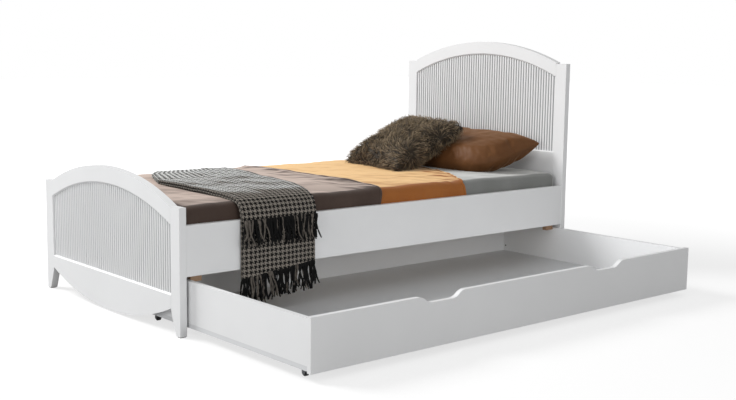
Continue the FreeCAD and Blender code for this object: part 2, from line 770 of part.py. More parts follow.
def throw_layer(offset, hems):
    """Returns one layer of the folded throw: it lies on the cover and hangs over the near rail."""
    base = MATTRESS_TOP + SHEET + COVER + THROW_GAP + offset
    lying = [Vector(x, y, base) for x, y in THROW_LEFT + THROW_RIGHT]
    top = polygon(lying).extrude(Vector(0, 0, THROW_LAYER))
    section = throw_section(offset, min(hems))
    width = THROW_X[1] - THROW_X[0]
    drop = polygon([Vector(THROW_X[0], y, z) for y, z in section]).extrude(Vector(width, 0, 0))
    layer = top.fuse(drop).removeSplitter()
    return layer if hems[0] == hems[1] else layer.cut(slanted_waste(hems))


def throw_fringe(offset, z):
    """Returns the fringe below a layer's hem as one slab."""
    face = -(RAIL_OUTER + THROW_CLEARANCE + offset)
    inset_x, inset_y = FRINGE_INSET
    along = (THROW_X[0] + inset_x, THROW_X[1] - inset_x)
    return box(along, (face - THROW_LAYER + inset_y, face - inset_y), z)


def throw():
    """Returns the throw: folded in two, so that two layers and two fringes hang over the near rail."""
    step = THROW_LAYER + THROW_GAP
    return {
        "throw_lower_layer": throw_layer(0, LOWER_HEM),
        "throw_lower_fringe": throw_fringe(0, (LOWER_FRINGE_TIP, LOWER_HEM[0])),
        "throw_upper_layer": throw_layer(step, (UPPER_HEM, UPPER_HEM)),
        "throw_upper_fringe": throw_fringe(step, (UPPER_FRINGE_TIP, UPPER_HEM)),
    }


def lens_bar(half, reach, thickness, along_x):
    """Returns a bar of lens-shaped section, long enough to cross a pillow."""
    rim = PILLOW_RIM * thickness

    def spot(u, z):
        """Returns a point of the section."""
        return Vector(u, -reach, z) if along_x else Vector(-reach, u, z)

    section = face_of(
        arc(spot(-half, rim), spot(0, thickness / 2), spot(half, rim)),
        line(spot(half, rim), spot(half, -rim)),
        arc(spot(half, -rim), spot(0, -thickness / 2), spot(-half, -rim)),
        line(spot(-half, -rim), spot(-half, rim)),
    )
    run = Vector(0, 2 * reach, 0) if along_x else Vector(2 * reach, 0, 0)
    return section.extrude(run)


def pillow(length, width, thickness):
    """Returns a pillow about the origin: what two crossed lens-shaped bars have in common."""
    lengthwise = lens_bar(length / 2, length, thickness, True)
    crosswise = lens_bar(width / 2, length, thickness, False)
    return lengthwise.common(crosswise)


def leaning(shape, tilt, turn, place):
    """Returns a pillow raised toward the headboard by a tilt, turned about Z and put in place."""
    shape.rotate(Vector(0, 0, 0), Vector(0, 1, 0), -tilt)
    shape.rotate(Vector(0, 0, 0), Vector(0, 0, 1), turn)
    shape.translate(place)
    return shape


def pillows():
    """Returns the satin pillow against the headboard and the long-haired cushion leaning on it."""
    return {
        "satin_pillow": leaning(pillow(*PILLOW_SIZE), PILLOW_TILT, PILLOW_TURN, PILLOW_CENTRE),
        "fur_cushion": leaning(pillow(*CUSHION_SIZE), CUSHION_TILT, CUSHION_TURN, CUSHION_CENTRE),
    }


def main():
    """Builds every sub-part and writes each to its own STEP file."""
    base_parts, frame_screws = slat_base()
    parts = dict(base_parts)
    parts.update(end_frame("footboard", -HALF_LENGTH - FRAME_THICKNESS, FOOTBOARD, frame_screws[-1]))
    parts.update(end_frame("headboard", HALF_LENGTH, HEADBOARD, frame_screws[1]))
    for assembly in (drawer, castors, mattress, throw, pillows):
        parts.update(assembly())
    os.makedirs("parts", exist_ok=True)
    for name, shape in parts.items():
        shape.translate(Vector(0, BED_Y, 0))
        shape.exportStep("parts/" + name + ".step")
        print(name, shape.isValid(), len(shape.Solids), round(shape.Volume / 1e3), "cm3")


main()
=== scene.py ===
"""Looks of a trundle bed: a painted frame, its rolled-out drawer and the made-up bedding.

Metres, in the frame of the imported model: +X toward the headboard, -Y the side where the drawer rolls
out, +Z up from the floor. Hard parts keep their own shapes and get finishes. The mattress, sheet,
covers, throw, pillow and cushion are modelled here and stand for their plain solids.
"""
from __future__ import annotations

import json
import logging
import math
import random
from dataclasses import dataclass, field
from enum import Enum
from typing import Callable, Iterable, Sequence

import bmesh
import bpy
import numpy as np
from mathutils import Euler, Matrix, Vector, noise

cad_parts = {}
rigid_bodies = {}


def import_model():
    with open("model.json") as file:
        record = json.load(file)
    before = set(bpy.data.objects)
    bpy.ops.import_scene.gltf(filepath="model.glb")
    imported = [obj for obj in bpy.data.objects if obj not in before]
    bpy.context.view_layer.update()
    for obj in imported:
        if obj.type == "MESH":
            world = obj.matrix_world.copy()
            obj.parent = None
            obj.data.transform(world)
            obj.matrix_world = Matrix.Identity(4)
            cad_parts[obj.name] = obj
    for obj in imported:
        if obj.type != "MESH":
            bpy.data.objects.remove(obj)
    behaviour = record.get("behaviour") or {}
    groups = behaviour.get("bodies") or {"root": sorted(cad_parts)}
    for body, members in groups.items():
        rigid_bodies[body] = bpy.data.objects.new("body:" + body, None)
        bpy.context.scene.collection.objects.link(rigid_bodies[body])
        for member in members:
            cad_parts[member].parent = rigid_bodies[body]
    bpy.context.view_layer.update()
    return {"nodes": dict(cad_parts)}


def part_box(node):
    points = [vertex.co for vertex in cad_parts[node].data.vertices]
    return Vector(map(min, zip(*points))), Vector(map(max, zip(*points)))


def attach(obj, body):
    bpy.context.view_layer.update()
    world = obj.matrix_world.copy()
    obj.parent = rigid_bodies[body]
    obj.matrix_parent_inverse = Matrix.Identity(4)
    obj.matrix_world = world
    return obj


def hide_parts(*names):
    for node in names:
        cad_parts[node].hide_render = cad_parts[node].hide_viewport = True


LOG = logging.getLogger("trundle_bed")
Colour = tuple[float, float, float]
TINY = 1e-9  # keeps a division away from 0


# Small helpers ------------------------------------------------------------------------------------

def deselect_all() -> None:
    """Leaves nothing selected and no object in edit mode."""
    if bpy.context.object is not None and bpy.context.object.mode != "OBJECT":
        bpy.ops.object.mode_set(mode="OBJECT")
    for item in bpy.context.view_layer.objects:
        if item.visible_get():
            item.select_set(False)


def make_active(item: bpy.types.Object) -> None:
    """Selects one object alone and makes it the active one.

    Args:
        item: The object.
    """
    deselect_all()
    item.select_set(True)
    bpy.context.view_layer.objects.active = item


def settle(item: bpy.types.Object, name: str) -> bpy.types.Object:
    """Names a new object and puts its place into its mesh, so that it sits at the origin.

    Args:
        item: The object.
        name: Its name.

    Returns:
        The same object.
    """
    make_active(item)
    item.name = name
    item.data.name = name
    bpy.ops.object.transform_apply(location=True, rotation=True, scale=True)
    return item


def points_of(item: bpy.types.Object) -> np.ndarray:
    """Returns an object's vertices as rows of x, y, z.

    Args:
        item: A mesh object.

    Returns:
        An array of shape (n, 3).
    """
    flat = np.empty(len(item.data.vertices) * 3)
    item.data.vertices.foreach_get("co", flat)
    return flat.reshape(-1, 3)


def move_points(item: bpy.types.Object, places: np.ndarray) -> None:
    """Moves an object's vertices.

    Args:
        item: A mesh object.
        places: One row of x, y, z for each vertex.
    """
    item.data.vertices.foreach_set("co", places.astype(np.float32).ravel())
    item.data.update()


def apply_modifiers(item: bpy.types.Object) -> None:
    """Applies all of an object's modifiers in their order.

    Args:
        item: A mesh object.
    """
    make_active(item)
    for modifier in list(item.modifiers):
        bpy.ops.object.modifier_apply(modifier=modifier.name)


def face_outward(item: bpy.types.Object) -> None:
    """Recalculates a closed mesh's normals so that they point outward.

    Args:
        item: A mesh object.
    """
    make_active(item)
    bpy.ops.object.mode_set(mode="EDIT")
    bpy.ops.mesh.select_all(action="SELECT")
    bpy.ops.mesh.normals_make_consistent(inside=False)
    bpy.ops.object.mode_set(mode="OBJECT")


def smooth(item: bpy.types.Object) -> None:
    """Shades an object smooth.

    Args:
        item: A mesh object.
    """
    make_active(item)
    bpy.ops.object.shade_smooth()


def turbulence(places: np.ndarray, size: float, seed: float, octaves: int = 3) -> np.ndarray:
    """Returns smooth noise at each place.

    Args:
        places: Rows of x, y, z.
        size: Width of the largest lumps, in metres.
        seed: Offset that picks another pattern.
        octaves: Number of finer layers.

    Returns:
        Values of about -1 to 1.
    """
    shift = Vector((seed * 7.31, seed * 3.17, seed * 5.77))
    values = [noise.fractal(Vector(place) / size + shift, 1.0, 2.0, octaves) for place in places]
    return np.array(values)


def ease(value: np.ndarray, low: float, high: float) -> np.ndarray:
    """Returns a smooth step from 0 at low to 1 at high.

    Args:
        value: The values to test.
        low: Where the step starts.
        high: Where it ends.

    Returns:
        Values from 0 to 1.
    """
    share = np.clip((value - low) / (high - low), 0.0, 1.0)
    return share * share * (3.0 - 2.0 * share)


# Node groups --------------------------------------------------------------------------------------

class NodeKit:
    """Adds and links nodes in one tree."""

    def __init__(self, tree: bpy.types.NodeTree) -> None:
        """Keeps the tree.

        Args:
            tree: The tree to add nodes to.
        """
        self.tree = tree
        self.column = 0

    def add(self, kind: str, inputs: dict | None = None, **settings: object) -> bpy.types.Node:
        """Adds a node, sets it up and fills its inputs.

        Args:
            kind: Blender's name of the node type.
            inputs: Values or output sockets by the input's name or number.
            **settings: Properties of the node.

        Returns:
            The node.
        """
        node = self.tree.nodes.new(kind)
        node.location = (self.column * 190, 0)
        self.column += 1
        for name, value in settings.items():
            setattr(node, name, value)
        for key, value in (inputs or {}).items():
            if isinstance(value, bpy.types.NodeSocket):
                self.tree.links.new(value, node.inputs[key])
            else:
                node.inputs[key].default_value = value
        return node

    def math(self, operation: str, *values: object) -> bpy.types.NodeSocket:
        """Adds a Math node and returns its result.

        Args:
            operation: Blender's name of the operation.
            *values: Its operands.

        Returns:
            The output socket.
        """
        node = self.add("ShaderNodeMath", dict(enumerate(values)), operation=operation)
        return node.outputs[0]

    def mix(self, share: object, first: object, second: object) -> bpy.types.NodeSocket:
        """Mixes two colours.

        Args:
            share: Share of the second colour.
            first: The first colour.
            second: The second colour.

        Returns:
            The output socket.
        """
        node = self.add("ShaderNodeMix", {0: share, 6: first, 7: second}, data_type="RGBA")
        return node.outputs[2]

    def ramp(self, value: object, stops: Sequence[tuple[float, float]]) -> bpy.types.NodeSocket:
        """Adds a grey colour ramp.

        Args:
            value: What drives the ramp.
            stops: Pairs of position and grey level.

        Returns:
            The output socket.
        """
        node = self.add("ShaderNodeValToRGB", {0: value})
        elements = node.color_ramp.elements
        while len(elements) < len(stops):
            elements.new(0.5)
        for element, (position, level) in zip(elements, stops):
            element.position = position
            element.color = (level, level, level, 1.0)
        return node.outputs[0]

    def cloud(self, place: object, scale: object, detail: float) -> bpy.types.Node:
        """Adds soft noise and returns its node."""
        return self.add("ShaderNodeTexNoise", {"Vector": place, "Scale": scale, "Detail": detail})

    def ribs(self, distance: object, turn: object) -> bpy.types.NodeSocket:
        """Adds a row of round ribs along a distance and returns their height."""
        return self.math("ABSOLUTE", self.math("SINE", self.math("MULTIPLY", distance, turn)))

    def give(self, leave: bpy.types.Node, **sockets: bpy.types.NodeSocket) -> None:
        """Feeds the outputs of a group.

        Args:
            leave: The group's output node.
            **sockets: What feeds each output, by the output's name.
        """
        for name, socket in sockets.items():
            self.tree.links.new(socket, leave.inputs[name])


def rgba(colour: Colour) -> tuple[float, float, float, float]:
    """Returns a colour with full alpha."""
    return (*colour, 1.0)


def new_group(name: str, inputs: Sequence[tuple], outputs: Sequence[tuple]) -> tuple:
    """Starts a shader node group.

    Args:
        name: The group's name.
        inputs: Triples of socket name, socket kind and default value.
        outputs: Pairs of socket name and socket kind.

    Returns:
        The tree, a kit for it, its input node and its output node.
    """
    tree = bpy.data.node_groups.new(name, "ShaderNodeTree")
    for label, kind, default in inputs:
        socket = tree.interface.new_socket(name=label, in_out="INPUT", socket_type=kind)
        if default is not None:
            socket.default_value = default
    for label, kind in outputs:
        tree.interface.new_socket(name=label, in_out="OUTPUT", socket_type=kind)
    kit = NodeKit(tree)
    entry = kit.add("NodeGroupInput")
    leave = kit.add("NodeGroupOutput")
    return tree, kit, entry, leave


FLOAT = "NodeSocketFloat"
COLOUR = "NodeSocketColor"
VECTOR = "NodeSocketVector"


class Effects:
    """The node groups that several materials share, each built once."""

    def __init__(self) -> None:
        """Builds every group."""
        self.mottle = self._mottle()
        self.grain = self._grain()
        self.weave = self._weave()
        self.houndstooth = self._houndstooth()
        self.brushing = self._brushing()

    def _mottle(self) -> bpy.types.NodeTree:
        """Builds the group that varies a colour softly and gives a fine uneven height.

        Returns:
            The group.
        """
        tree, kit, entry, leave = new_group(
            "mottle",
            [("Vector", VECTOR, None), ("Color", COLOUR, (1, 1, 1, 1)), ("Shade", COLOUR, (0.9, 0.9, 0.9, 1)),
             ("Patch Scale", FLOAT, 6.0), ("Fine Scale", FLOAT, 300.0)],
            [("Color", COLOUR), ("Patches", FLOAT), ("Height", FLOAT)],
        )
        put = entry.outputs
        patches = kit.cloud(put["Vector"], put["Patch Scale"], 4.0)
        fine = kit.cloud(put["Vector"], put["Fine Scale"], 2.0)
        share = kit.ramp(patches.outputs["Fac"], [(0.35, 0.0), (0.65, 1.0)])
        colour = kit.mix(share, put["Color"], put["Shade"])
        kit.give(leave, Color=colour, Patches=share, Height=fine.outputs["Fac"])
        return tree

    def _grain(self) -> bpy.types.NodeTree:
        """Builds the group of long wood grain with darker late rings and fine pores.

        Returns:
            The group.
        """
        tree, kit, entry, leave = new_group(
            "wood_grain",
            [("Vector", VECTOR, None), ("Early Wood", COLOUR, (0.8, 0.6, 0.4, 1)),
             ("Late Wood", COLOUR, (0.6, 0.4, 0.2, 1)), ("Ring Scale", FLOAT, 40.0)],
            [("Color", COLOUR), ("Height", FLOAT)],
        )
        put = entry.outputs
        drift = kit.cloud(put["Vector"], 3.0, 3.0).outputs["Color"]
        bent = kit.add("ShaderNodeVectorMath", {0: drift, 1: (0.035, 0.035, 0.035)}, operation="MULTIPLY")
        moved = kit.add("ShaderNodeVectorMath", {0: put["Vector"], 1: bent.outputs[0]}, operation="ADD")
        place = moved.outputs[0]
        rings = kit.add(
            "ShaderNodeTexWave",
            {"Vector": place, "Scale": put["Ring Scale"], "Distortion": 2.5, "Detail": 2.0},
            wave_type="BANDS", bands_direction="X",
        )
        pores = kit.ramp(kit.cloud(place, 420.0, 2.0).outputs["Fac"], [(0.3, 0.55), (0.7, 1.0)])
        share = kit.math("MULTIPLY", rings.outputs["Fac"], pores)
        kit.give(leave, Color=kit.mix(share, put["Early Wood"], put["Late Wood"]), Height=share)
        return tree

    def _weave(self) -> bpy.types.NodeTree:
        """Builds the group of crossing threads on cloth coordinates in metres.

        Returns:
            The group.
        """
        tree, kit, entry, leave = new_group(
            "plain_weave",
            [("Vector", VECTOR, None), ("Thread Pitch", FLOAT, 0.001)],
            [("Threads", FLOAT), ("Height", FLOAT)],
        )
        axes = kit.add("ShaderNodeSeparateXYZ", {0: entry.outputs["Vector"]})
        turn = kit.math("DIVIDE", math.pi, entry.outputs["Thread Pitch"])
        threads = kit.math("MAXIMUM", kit.ribs(axes.outputs[0], turn), kit.ribs(axes.outputs[1], turn))
        slub = kit.cloud(entry.outputs["Vector"], 160.0, 3.0).outputs["Fac"]
        height = kit.math("ADD", kit.math("MULTIPLY", threads, 0.6), kit.math("MULTIPLY", slub, 0.4))
        kit.give(leave, Threads=threads, Height=height)
        return tree

    def _houndstooth(self) -> bpy.types.NodeTree:
        """Builds the group of the broken check, a two-up two-down twill of dark and light threads.

        Returns:
            The group.
        """
        threads, dark_threads, twill, raised = 8.0, 4.4, 4.0, 1.5
        tree, kit, entry, leave = new_group(
            "houndstooth",
            [("Vector", VECTOR, None), ("Repeat", FLOAT, 0.02)],
            [("Dark", FLOAT), ("Height", FLOAT)],
        )
        axes = kit.add("ShaderNodeSeparateXYZ", {0: entry.outputs["Vector"]})
        thread = kit.math("DIVIDE", entry.outputs["Repeat"], threads)
        across = kit.math("DIVIDE", axes.outputs[0], thread)
        along = kit.math("DIVIDE", axes.outputs[1], thread)
        warp_dark = kit.math("LESS_THAN", kit.math("FLOORED_MODULO", across, threads), dark_threads)
        weft_dark = kit.math("LESS_THAN", kit.math("FLOORED_MODULO", along, threads), dark_threads)
        diagonal = kit.math("ADD", kit.math("FLOOR", across), kit.math("FLOOR", along))
        warp_up = kit.math("LESS_THAN", kit.math("FLOORED_MODULO", diagonal, twill), raised)
        over = kit.math("MULTIPLY", warp_dark, warp_up)
        under = kit.math("MULTIPLY", weft_dark, kit.math("SUBTRACT", 1.0, warp_up))
        dark = kit.math("ADD", over, under)
        turn = kit.math("DIVIDE", math.pi, thread)
        ribs = kit.math("MAXIMUM", kit.ribs(axes.outputs[0], turn), kit.ribs(axes.outputs[1], turn))
        fuzz = kit.cloud(entry.outputs["Vector"], 500.0, 3.0)
        kit.give(leave, Dark=dark, Height=kit.math("ADD", ribs, fuzz.outputs["Fac"]))
        return tree

    def _brushing(self) -> bpy.types.NodeTree:
        """Builds the group of fine streaks and dull specks for plated metal.

        Returns:
            The group.
        """
        tree, kit, entry, leave = new_group(
            "plating",
            [("Vector", VECTOR, None)],
            [("Streaks", FLOAT), ("Height", FLOAT)],
        )
        lengthwise = (1.0, 1.0, 18.0)
        stretched = kit.add("ShaderNodeMapping", {"Vector": entry.outputs["Vector"], "Scale": lengthwise})
        streaks = kit.cloud(stretched.outputs[0], 90.0, 4.0)
        specks = kit.add("ShaderNodeTexVoronoi", {"Vector": entry.outputs["Vector"], "Scale": 700.0})
        shown = kit.ramp(streaks.outputs["Fac"], [(0.3, 0.0), (0.7, 1.0)])
        kit.give(leave, Streaks=shown, Height=specks.outputs["Distance"])
        return tree


# Finishes -----------------------------------------------------------------------------------------

class Coordinates(Enum):
    """What a finish's pattern is laid on."""

    OBJECT = "Object"
    CLOTH = "UV"


class Surface:
    """One material being built: its kit, its pattern coordinates and its Principled shader."""

    def __init__(self, name: str, laid_on: Coordinates = Coordinates.OBJECT) -> None:
        """Starts the material.

        Args:
            name: The material's name.
            laid_on: What the pattern follows.
        """
        self.material = bpy.data.materials.new(name)
        self.material.use_nodes = True
        self.material.node_tree.nodes.clear()
        self.kit = NodeKit(self.material.node_tree)
        self.place = self.kit.add("ShaderNodeTexCoord").outputs[laid_on.value]
        self.shader = self.kit.add("ShaderNodeBsdfPrincipled")
        output = self.kit.add("ShaderNodeOutputMaterial")
        self.kit.tree.links.new(self.shader.outputs[0], output.inputs[0])

    def effect(self, tree: bpy.types.NodeTree, **inputs: object) -> bpy.types.Node:
        """Places a shared effect on this material's coordinates.

        Args:
            tree: The node group.
            **inputs: Its inputs, with underscores for spaces.

        Returns:
            The group node.
        """
        node = self.kit.add("ShaderNodeGroup", node_tree=tree)
        self.kit.tree.links.new(self.place, node.inputs["Vector"])
        for key, value in inputs.items():
            node.inputs[key.replace("_", " ")].default_value = value
        return node

    def fixed(self, **values: object) -> None:
        """Sets sockets of the shader that are the same all over.

        Args:
            **values: Values by socket name, with underscores for spaces.
        """
        for key, value in values.items():
            self.shader.inputs[key.replace("_", " ")].default_value = value

    def colour(self, socket: bpy.types.NodeSocket) -> None:
        """Feeds the base colour."""
        self.kit.tree.links.new(socket, self.shader.inputs["Base Color"])

    def roughness(self, socket: bpy.types.NodeSocket, low: float, high: float) -> None:
        """Feeds the roughness from a mask.

        Args:
            socket: The mask.
            low: Roughness where the mask is 0.
            high: Roughness where it is 1.
        """
        spread = self.kit.math("MULTIPLY_ADD", socket, high - low, low)
        self.kit.tree.links.new(spread, self.shader.inputs["Roughness"])

    def bump(self, socket: bpy.types.NodeSocket, distance: float, strength: float) -> None:
        """Feeds the normal from a height.

        Args:
            socket: The height.
            distance: Its depth in metres.
            strength: Its strength, 0 to 1.
        """
        node = self.kit.add("ShaderNodeBump", {"Height": socket, "Distance": distance, "Strength": strength})
        self.kit.tree.links.new(node.outputs[0], self.shader.inputs["Normal"])


@dataclass(frozen=True)
class Lacquer:
    """Sprayed satin paint on a smooth board."""

    name: str = "white_lacquer"
    colour: Colour = (0.83, 0.835, 0.84)
    shade: Colour = (0.80, 0.805, 0.81)
    rough: tuple[float, float] = (0.30, 0.40)

    def build(self, effects: Effects) -> bpy.types.Material:
        """Builds the material.

        Args:
            effects: The shared node groups.

        Returns:
            The material.
        """
        surface = Surface(self.name)
        mottle = surface.effect(
            effects.mottle, Color=rgba(self.colour), Shade=rgba(self.shade), Patch_Scale=3.0, Fine_Scale=260.0
        )
        surface.colour(mottle.outputs["Color"])
        surface.roughness(mottle.outputs["Patches"], *self.rough)
        surface.bump(mottle.outputs["Height"], 0.0002, 0.12)
        surface.fixed(Coat_Weight=0.15, Coat_Roughness=0.2)
        return surface.material


@dataclass(frozen=True)
class ReededLacquer:
    """The same paint on upright reeds, with painted shade darkening the grooves."""

    name: str
    first_groove: float
    pitch: float
    face_end: float
    crest: Colour = (0.86, 0.865, 0.87)
    # Painted shade colour of the grooves.
    painted_groove_shade: Colour = (0.27, 0.28, 0.29)
    rough: tuple[float, float] = (0.30, 0.42)

    def build(self, effects: Effects) -> bpy.types.Material:
        """Builds the material.

        Args:
            effects: The shared node groups.

        Returns:
            The material.
        """
        surface = Surface(self.name)
        kit = surface.kit
        mottle = surface.effect(
            effects.mottle, Color=rgba(self.crest), Shade=rgba(tuple(c * 0.97 for c in self.crest)),
            Patch_Scale=3.0, Fine_Scale=260.0
        )
        axes = kit.add("ShaderNodeSeparateXYZ", {0: surface.place})
        on_face = kit.math("LESS_THAN", axes.outputs[0], self.face_end)
        phase = kit.math("DIVIDE", kit.math("SUBTRACT", axes.outputs[1], self.first_groove), self.pitch)
        from_groove = kit.math("PINGPONG", phase, 0.5)
        # Mask of painted shade: 1 in the grooves of the reeded face, fading to 0 toward the crests, where the
        # colour turns toward the painted shade colour.
        depth = kit.math("MULTIPLY", kit.ramp(from_groove, [(0.06, 1.0), (0.24, 0.0)]), on_face)
        surface.colour(kit.mix(depth, mottle.outputs["Color"], rgba(self.painted_groove_shade)))
        surface.roughness(depth, *self.rough)
        surface.bump(mottle.outputs["Height"], 0.0002, 0.12)
        surface.fixed(Coat_Weight=0.1, Coat_Roughness=0.25)
        return surface.material


@dataclass(frozen=True)
class Timber:
    """Bare or stained planed wood, with grain along one axis."""

    name: str
    early: Colour
    late: Colour
    along: str = "Y"
    rings: float = 26.0
    rough: tuple[float, float] = (0.5, 0.62)

    def build(self, effects: Effects) -> bpy.types.Material:
        """Builds the material.

        Args:
            effects: The shared node groups.

        Returns:
            The material.
        """
        surface = Surface(self.name)
        stretch = {"X": (0.06, 1.0, 1.0), "Y": (1.0, 0.06, 1.0)}[self.along]
        turn = {"X": (0.0, 0.0, math.pi / 2), "Y": (0.0, 0.0, 0.0)}[self.along]
        squeezed = surface.kit.add("ShaderNodeMapping", {"Vector": surface.place, "Scale": stretch})
        turned = surface.kit.add("ShaderNodeMapping", {"Vector": squeezed.outputs[0], "Rotation": turn})
        surface.place = turned.outputs[0]
        grain = surface.effect(
            effects.grain, Early_Wood=rgba(self.early), Late_Wood=rgba(self.late), Ring_Scale=self.rings
        )
        surface.colour(grain.outputs["Color"])
        surface.roughness(grain.outputs["Height"], *self.rough)
        surface.bump(grain.outputs["Height"], 0.0003, 0.25)
        return surface.material


@dataclass(frozen=True)
class Plating:
    """Zinc-plated steel."""

    name: str
    colour: Colour
    rough: tuple[float, float] = (0.28, 0.45)

    def build(self, effects: Effects) -> bpy.types.Material:
        """Builds the material.

        Args:
            effects: The shared node groups.

        Returns:
            The material.
        """
        surface = Surface(self.name)
        plate = surface.effect(effects.brushing)
        dull = tuple(channel * 0.78 for channel in self.colour)
        surface.colour(surface.kit.mix(plate.outputs["Streaks"], rgba(self.colour), rgba(dull)))
        surface.roughness(plate.outputs["Streaks"], *self.rough)
        surface.bump(plate.outputs["Height"], 0.0002, 0.1)
        surface.fixed(Metallic=1.0)
        return surface.material


@dataclass(frozen=True)
class Moulding:
    """Moulded plastic with a fine spark-eroded grain."""

    name: str
    colour: Colour
    rough: tuple[float, float] = (0.42, 0.58)

    def build(self, effects: Effects) -> bpy.types.Material:
        """Builds the material.

        Args:
            effects: The shared node groups.

        Returns:
            The material.
        """
        surface = Surface(self.name)
        worn = tuple(min(1.0, channel * 1.35 + 0.01) for channel in self.colour)
        mottle = surface.effect(
            effects.mottle, Color=rgba(self.colour), Shade=rgba(worn), Patch_Scale=120.0, Fine_Scale=1500.0
        )
        surface.colour(mottle.outputs["Color"])
        surface.roughness(mottle.outputs["Patches"], *self.rough)
        surface.bump(mottle.outputs["Height"], 0.0001, 0.2)
        return surface.material


@dataclass(frozen=True)
class Cotton:
    """Plain woven or knitted cotton, laid on the cloth's own coordinates in metres.

    Where the cloth is hemmed, its first coordinate is the distance from the hem.
    """

    name: str
    colour: Colour
    shade: Colour
    # Pale colour painted on as sheen where the cloth is seen at a glancing angle.
    painted_sheen: Colour
    pitch: float = 0.0011
    hemmed: bool = False
    rough: tuple[float, float] = (0.66, 0.84)
    laid_on: Coordinates = Coordinates.CLOTH

    def _stitches_and_fold_shadow(self, surface: Surface) -> bpy.types.NodeSocket:
        """Returns a mask of the painted shadow along the hem's folded edge and of its row of stitches, whose
        dark dashes also paint the shade where the stitches sink in.

        Args:
            surface: The material being built.

        Returns:
            The mask.
        """
        kit = surface.kit
        axes = kit.add("ShaderNodeSeparateXYZ", {0: surface.place})
        off_row = kit.math("ABSOLUTE", kit.math("SUBTRACT", axes.outputs[0], 0.014))
        row = kit.math("LESS_THAN", off_row, 0.0011)
        dash = kit.math("LESS_THAN", kit.math("FLOORED_MODULO", axes.outputs[1], 0.0034), 0.0022)
        stitches = kit.math("MULTIPLY", row, dash)
        # Painted shadow along the hem's folded edge.
        folded = kit.math("LESS_THAN", axes.outputs[0], 0.0035)
        return kit.math("MULTIPLY", kit.math("MAXIMUM", stitches, folded), 0.85)

    def build(self, effects: Effects) -> bpy.types.Material:
        """Builds the material.

        Args:
            effects: The shared node groups.

        Returns:
            The material.
        """
        surface = Surface(self.name, self.laid_on)
        kit = surface.kit
        weave = surface.effect(effects.weave, Thread_Pitch=self.pitch)
        mottle = surface.effect(
            effects.mottle, Color=rgba(self.colour), Shade=rgba(self.shade), Patch_Scale=7.0, Fine_Scale=900.0
        )
        # Painted shade between the threads: where the weave mask is low, the colour turns toward a darker
        # copy of the shade colour.
        painted_thread_shade = kit.math("MULTIPLY", kit.math("SUBTRACT", 1.0, weave.outputs["Threads"]), 0.5)
        painted_thread_shade_colour = tuple(channel * 0.72 for channel in self.shade)
        yarn = kit.mix(painted_thread_shade, mottle.outputs["Color"], rgba(painted_thread_shade_colour))
        # Painted sheen: where the cloth is seen at a glancing angle, its colour turns toward the pale sheen
        # colour.
        glance = kit.add("ShaderNodeLayerWeight", {"Blend": 0.5}).outputs["Facing"]
        painted_sheen_share = kit.ramp(glance, [(0.74, 0.0), (0.89, 1.0)])
        cloth = kit.mix(painted_sheen_share, yarn, rgba(self.painted_sheen))
        # Where hemmed, a dark copy of the shade colour paints the shadow along the folded edge and draws the
        # dark stitches.
        if self.hemmed:
            dark = tuple(channel * 0.35 for channel in self.shade)
            cloth = kit.mix(self._stitches_and_fold_shadow(surface), cloth, rgba(dark))
        surface.colour(cloth)
        surface.roughness(weave.outputs["Threads"], self.rough[1], self.rough[0])
        surface.bump(weave.outputs["Height"], 0.0004, 0.35)
        surface.fixed(Sheen_Weight=0.15, Sheen_Roughness=0.4, Specular_IOR_Level=0.3)
        return surface.material


@dataclass(frozen=True)
class CheckWool:
    """Soft wool woven in a broken check of dark and light yarn."""

    name: str = "houndstooth_wool"
    dark: Colour = (0.008, 0.008, 0.008)
    light: Colour = (0.29, 0.26, 0.225)
    # Pale colour painted on as sheen where the wool is seen at a glancing angle.
    painted_sheen: Colour = (0.86, 0.87, 0.85)
    repeat: float = 0.0182

    def build(self, effects: Effects) -> bpy.types.Material:
        """Builds the material.

        Args:
            effects: The shared node groups.

        Returns:
            The material.
        """
        surface = Surface(self.name, Coordinates.CLOTH)
        check = surface.effect(effects.houndstooth, Repeat=self.repeat)
        mottle = surface.effect(
            effects.mottle, Color=rgba(self.light), Shade=rgba(tuple(c * 0.8 for c in self.light)),
            Patch_Scale=90.0, Fine_Scale=1200.0
        )
        # Painted sheen: where the wool is seen at a glancing angle, its light yarn turns toward the pale
        # sheen colour.
        glance = surface.kit.add("ShaderNodeLayerWeight", {"Blend": 0.5}).outputs["Facing"]
        painted_sheen_share = surface.kit.ramp(glance, [(0.80, 0.0), (0.905, 1.0)])
        light = surface.kit.mix(painted_sheen_share, mottle.outputs["Color"], rgba(self.painted_sheen))
        surface.colour(surface.kit.mix(check.outputs["Dark"], light, rgba(self.dark)))
        surface.roughness(mottle.outputs["Patches"], 0.82, 0.95)
        surface.bump(check.outputs["Height"], 0.0009, 0.5)
        surface.fixed(Sheen_Weight=0.02, Sheen_Roughness=0.45, Specular_IOR_Level=0.08)
        return surface.material


@dataclass(frozen=True)
class Yarn:
    """Twisted yarn; the strand's own map holds its tone across and its length along."""

    name: str = "fringe_yarn"
    dark: Colour = (0.010, 0.010, 0.010)
    light: Colour = (0.17, 0.15, 0.13)
    light_share: float = 0.17

    def build(self, effects: Effects) -> bpy.types.Material:
        """Builds the material.

        Args:
            effects: The shared node groups.

        Returns:
            The material.
        """
        surface = Surface(self.name, Coordinates.CLOTH)
        axes = surface.kit.add("ShaderNodeSeparateXYZ", {0: surface.place})
        pale = surface.kit.math("LESS_THAN", axes.outputs[0], self.light_share)
        twist = surface.kit.math("SINE", surface.kit.math("MULTIPLY", axes.outputs[1], 1900.0))
        mottle = surface.effect(
            effects.mottle, Color=rgba(self.light), Shade=rgba(tuple(c * 0.6 for c in self.light)),
            Patch_Scale=60.0, Fine_Scale=900.0
        )
        surface.colour(surface.kit.mix(pale, rgba(self.dark), mottle.outputs["Color"]))
        surface.roughness(mottle.outputs["Patches"], 0.75, 0.95)
        surface.bump(twist, 0.0006, 0.6)
        surface.fixed(Sheen_Weight=0.02, Specular_IOR_Level=0.08)
        return surface.material


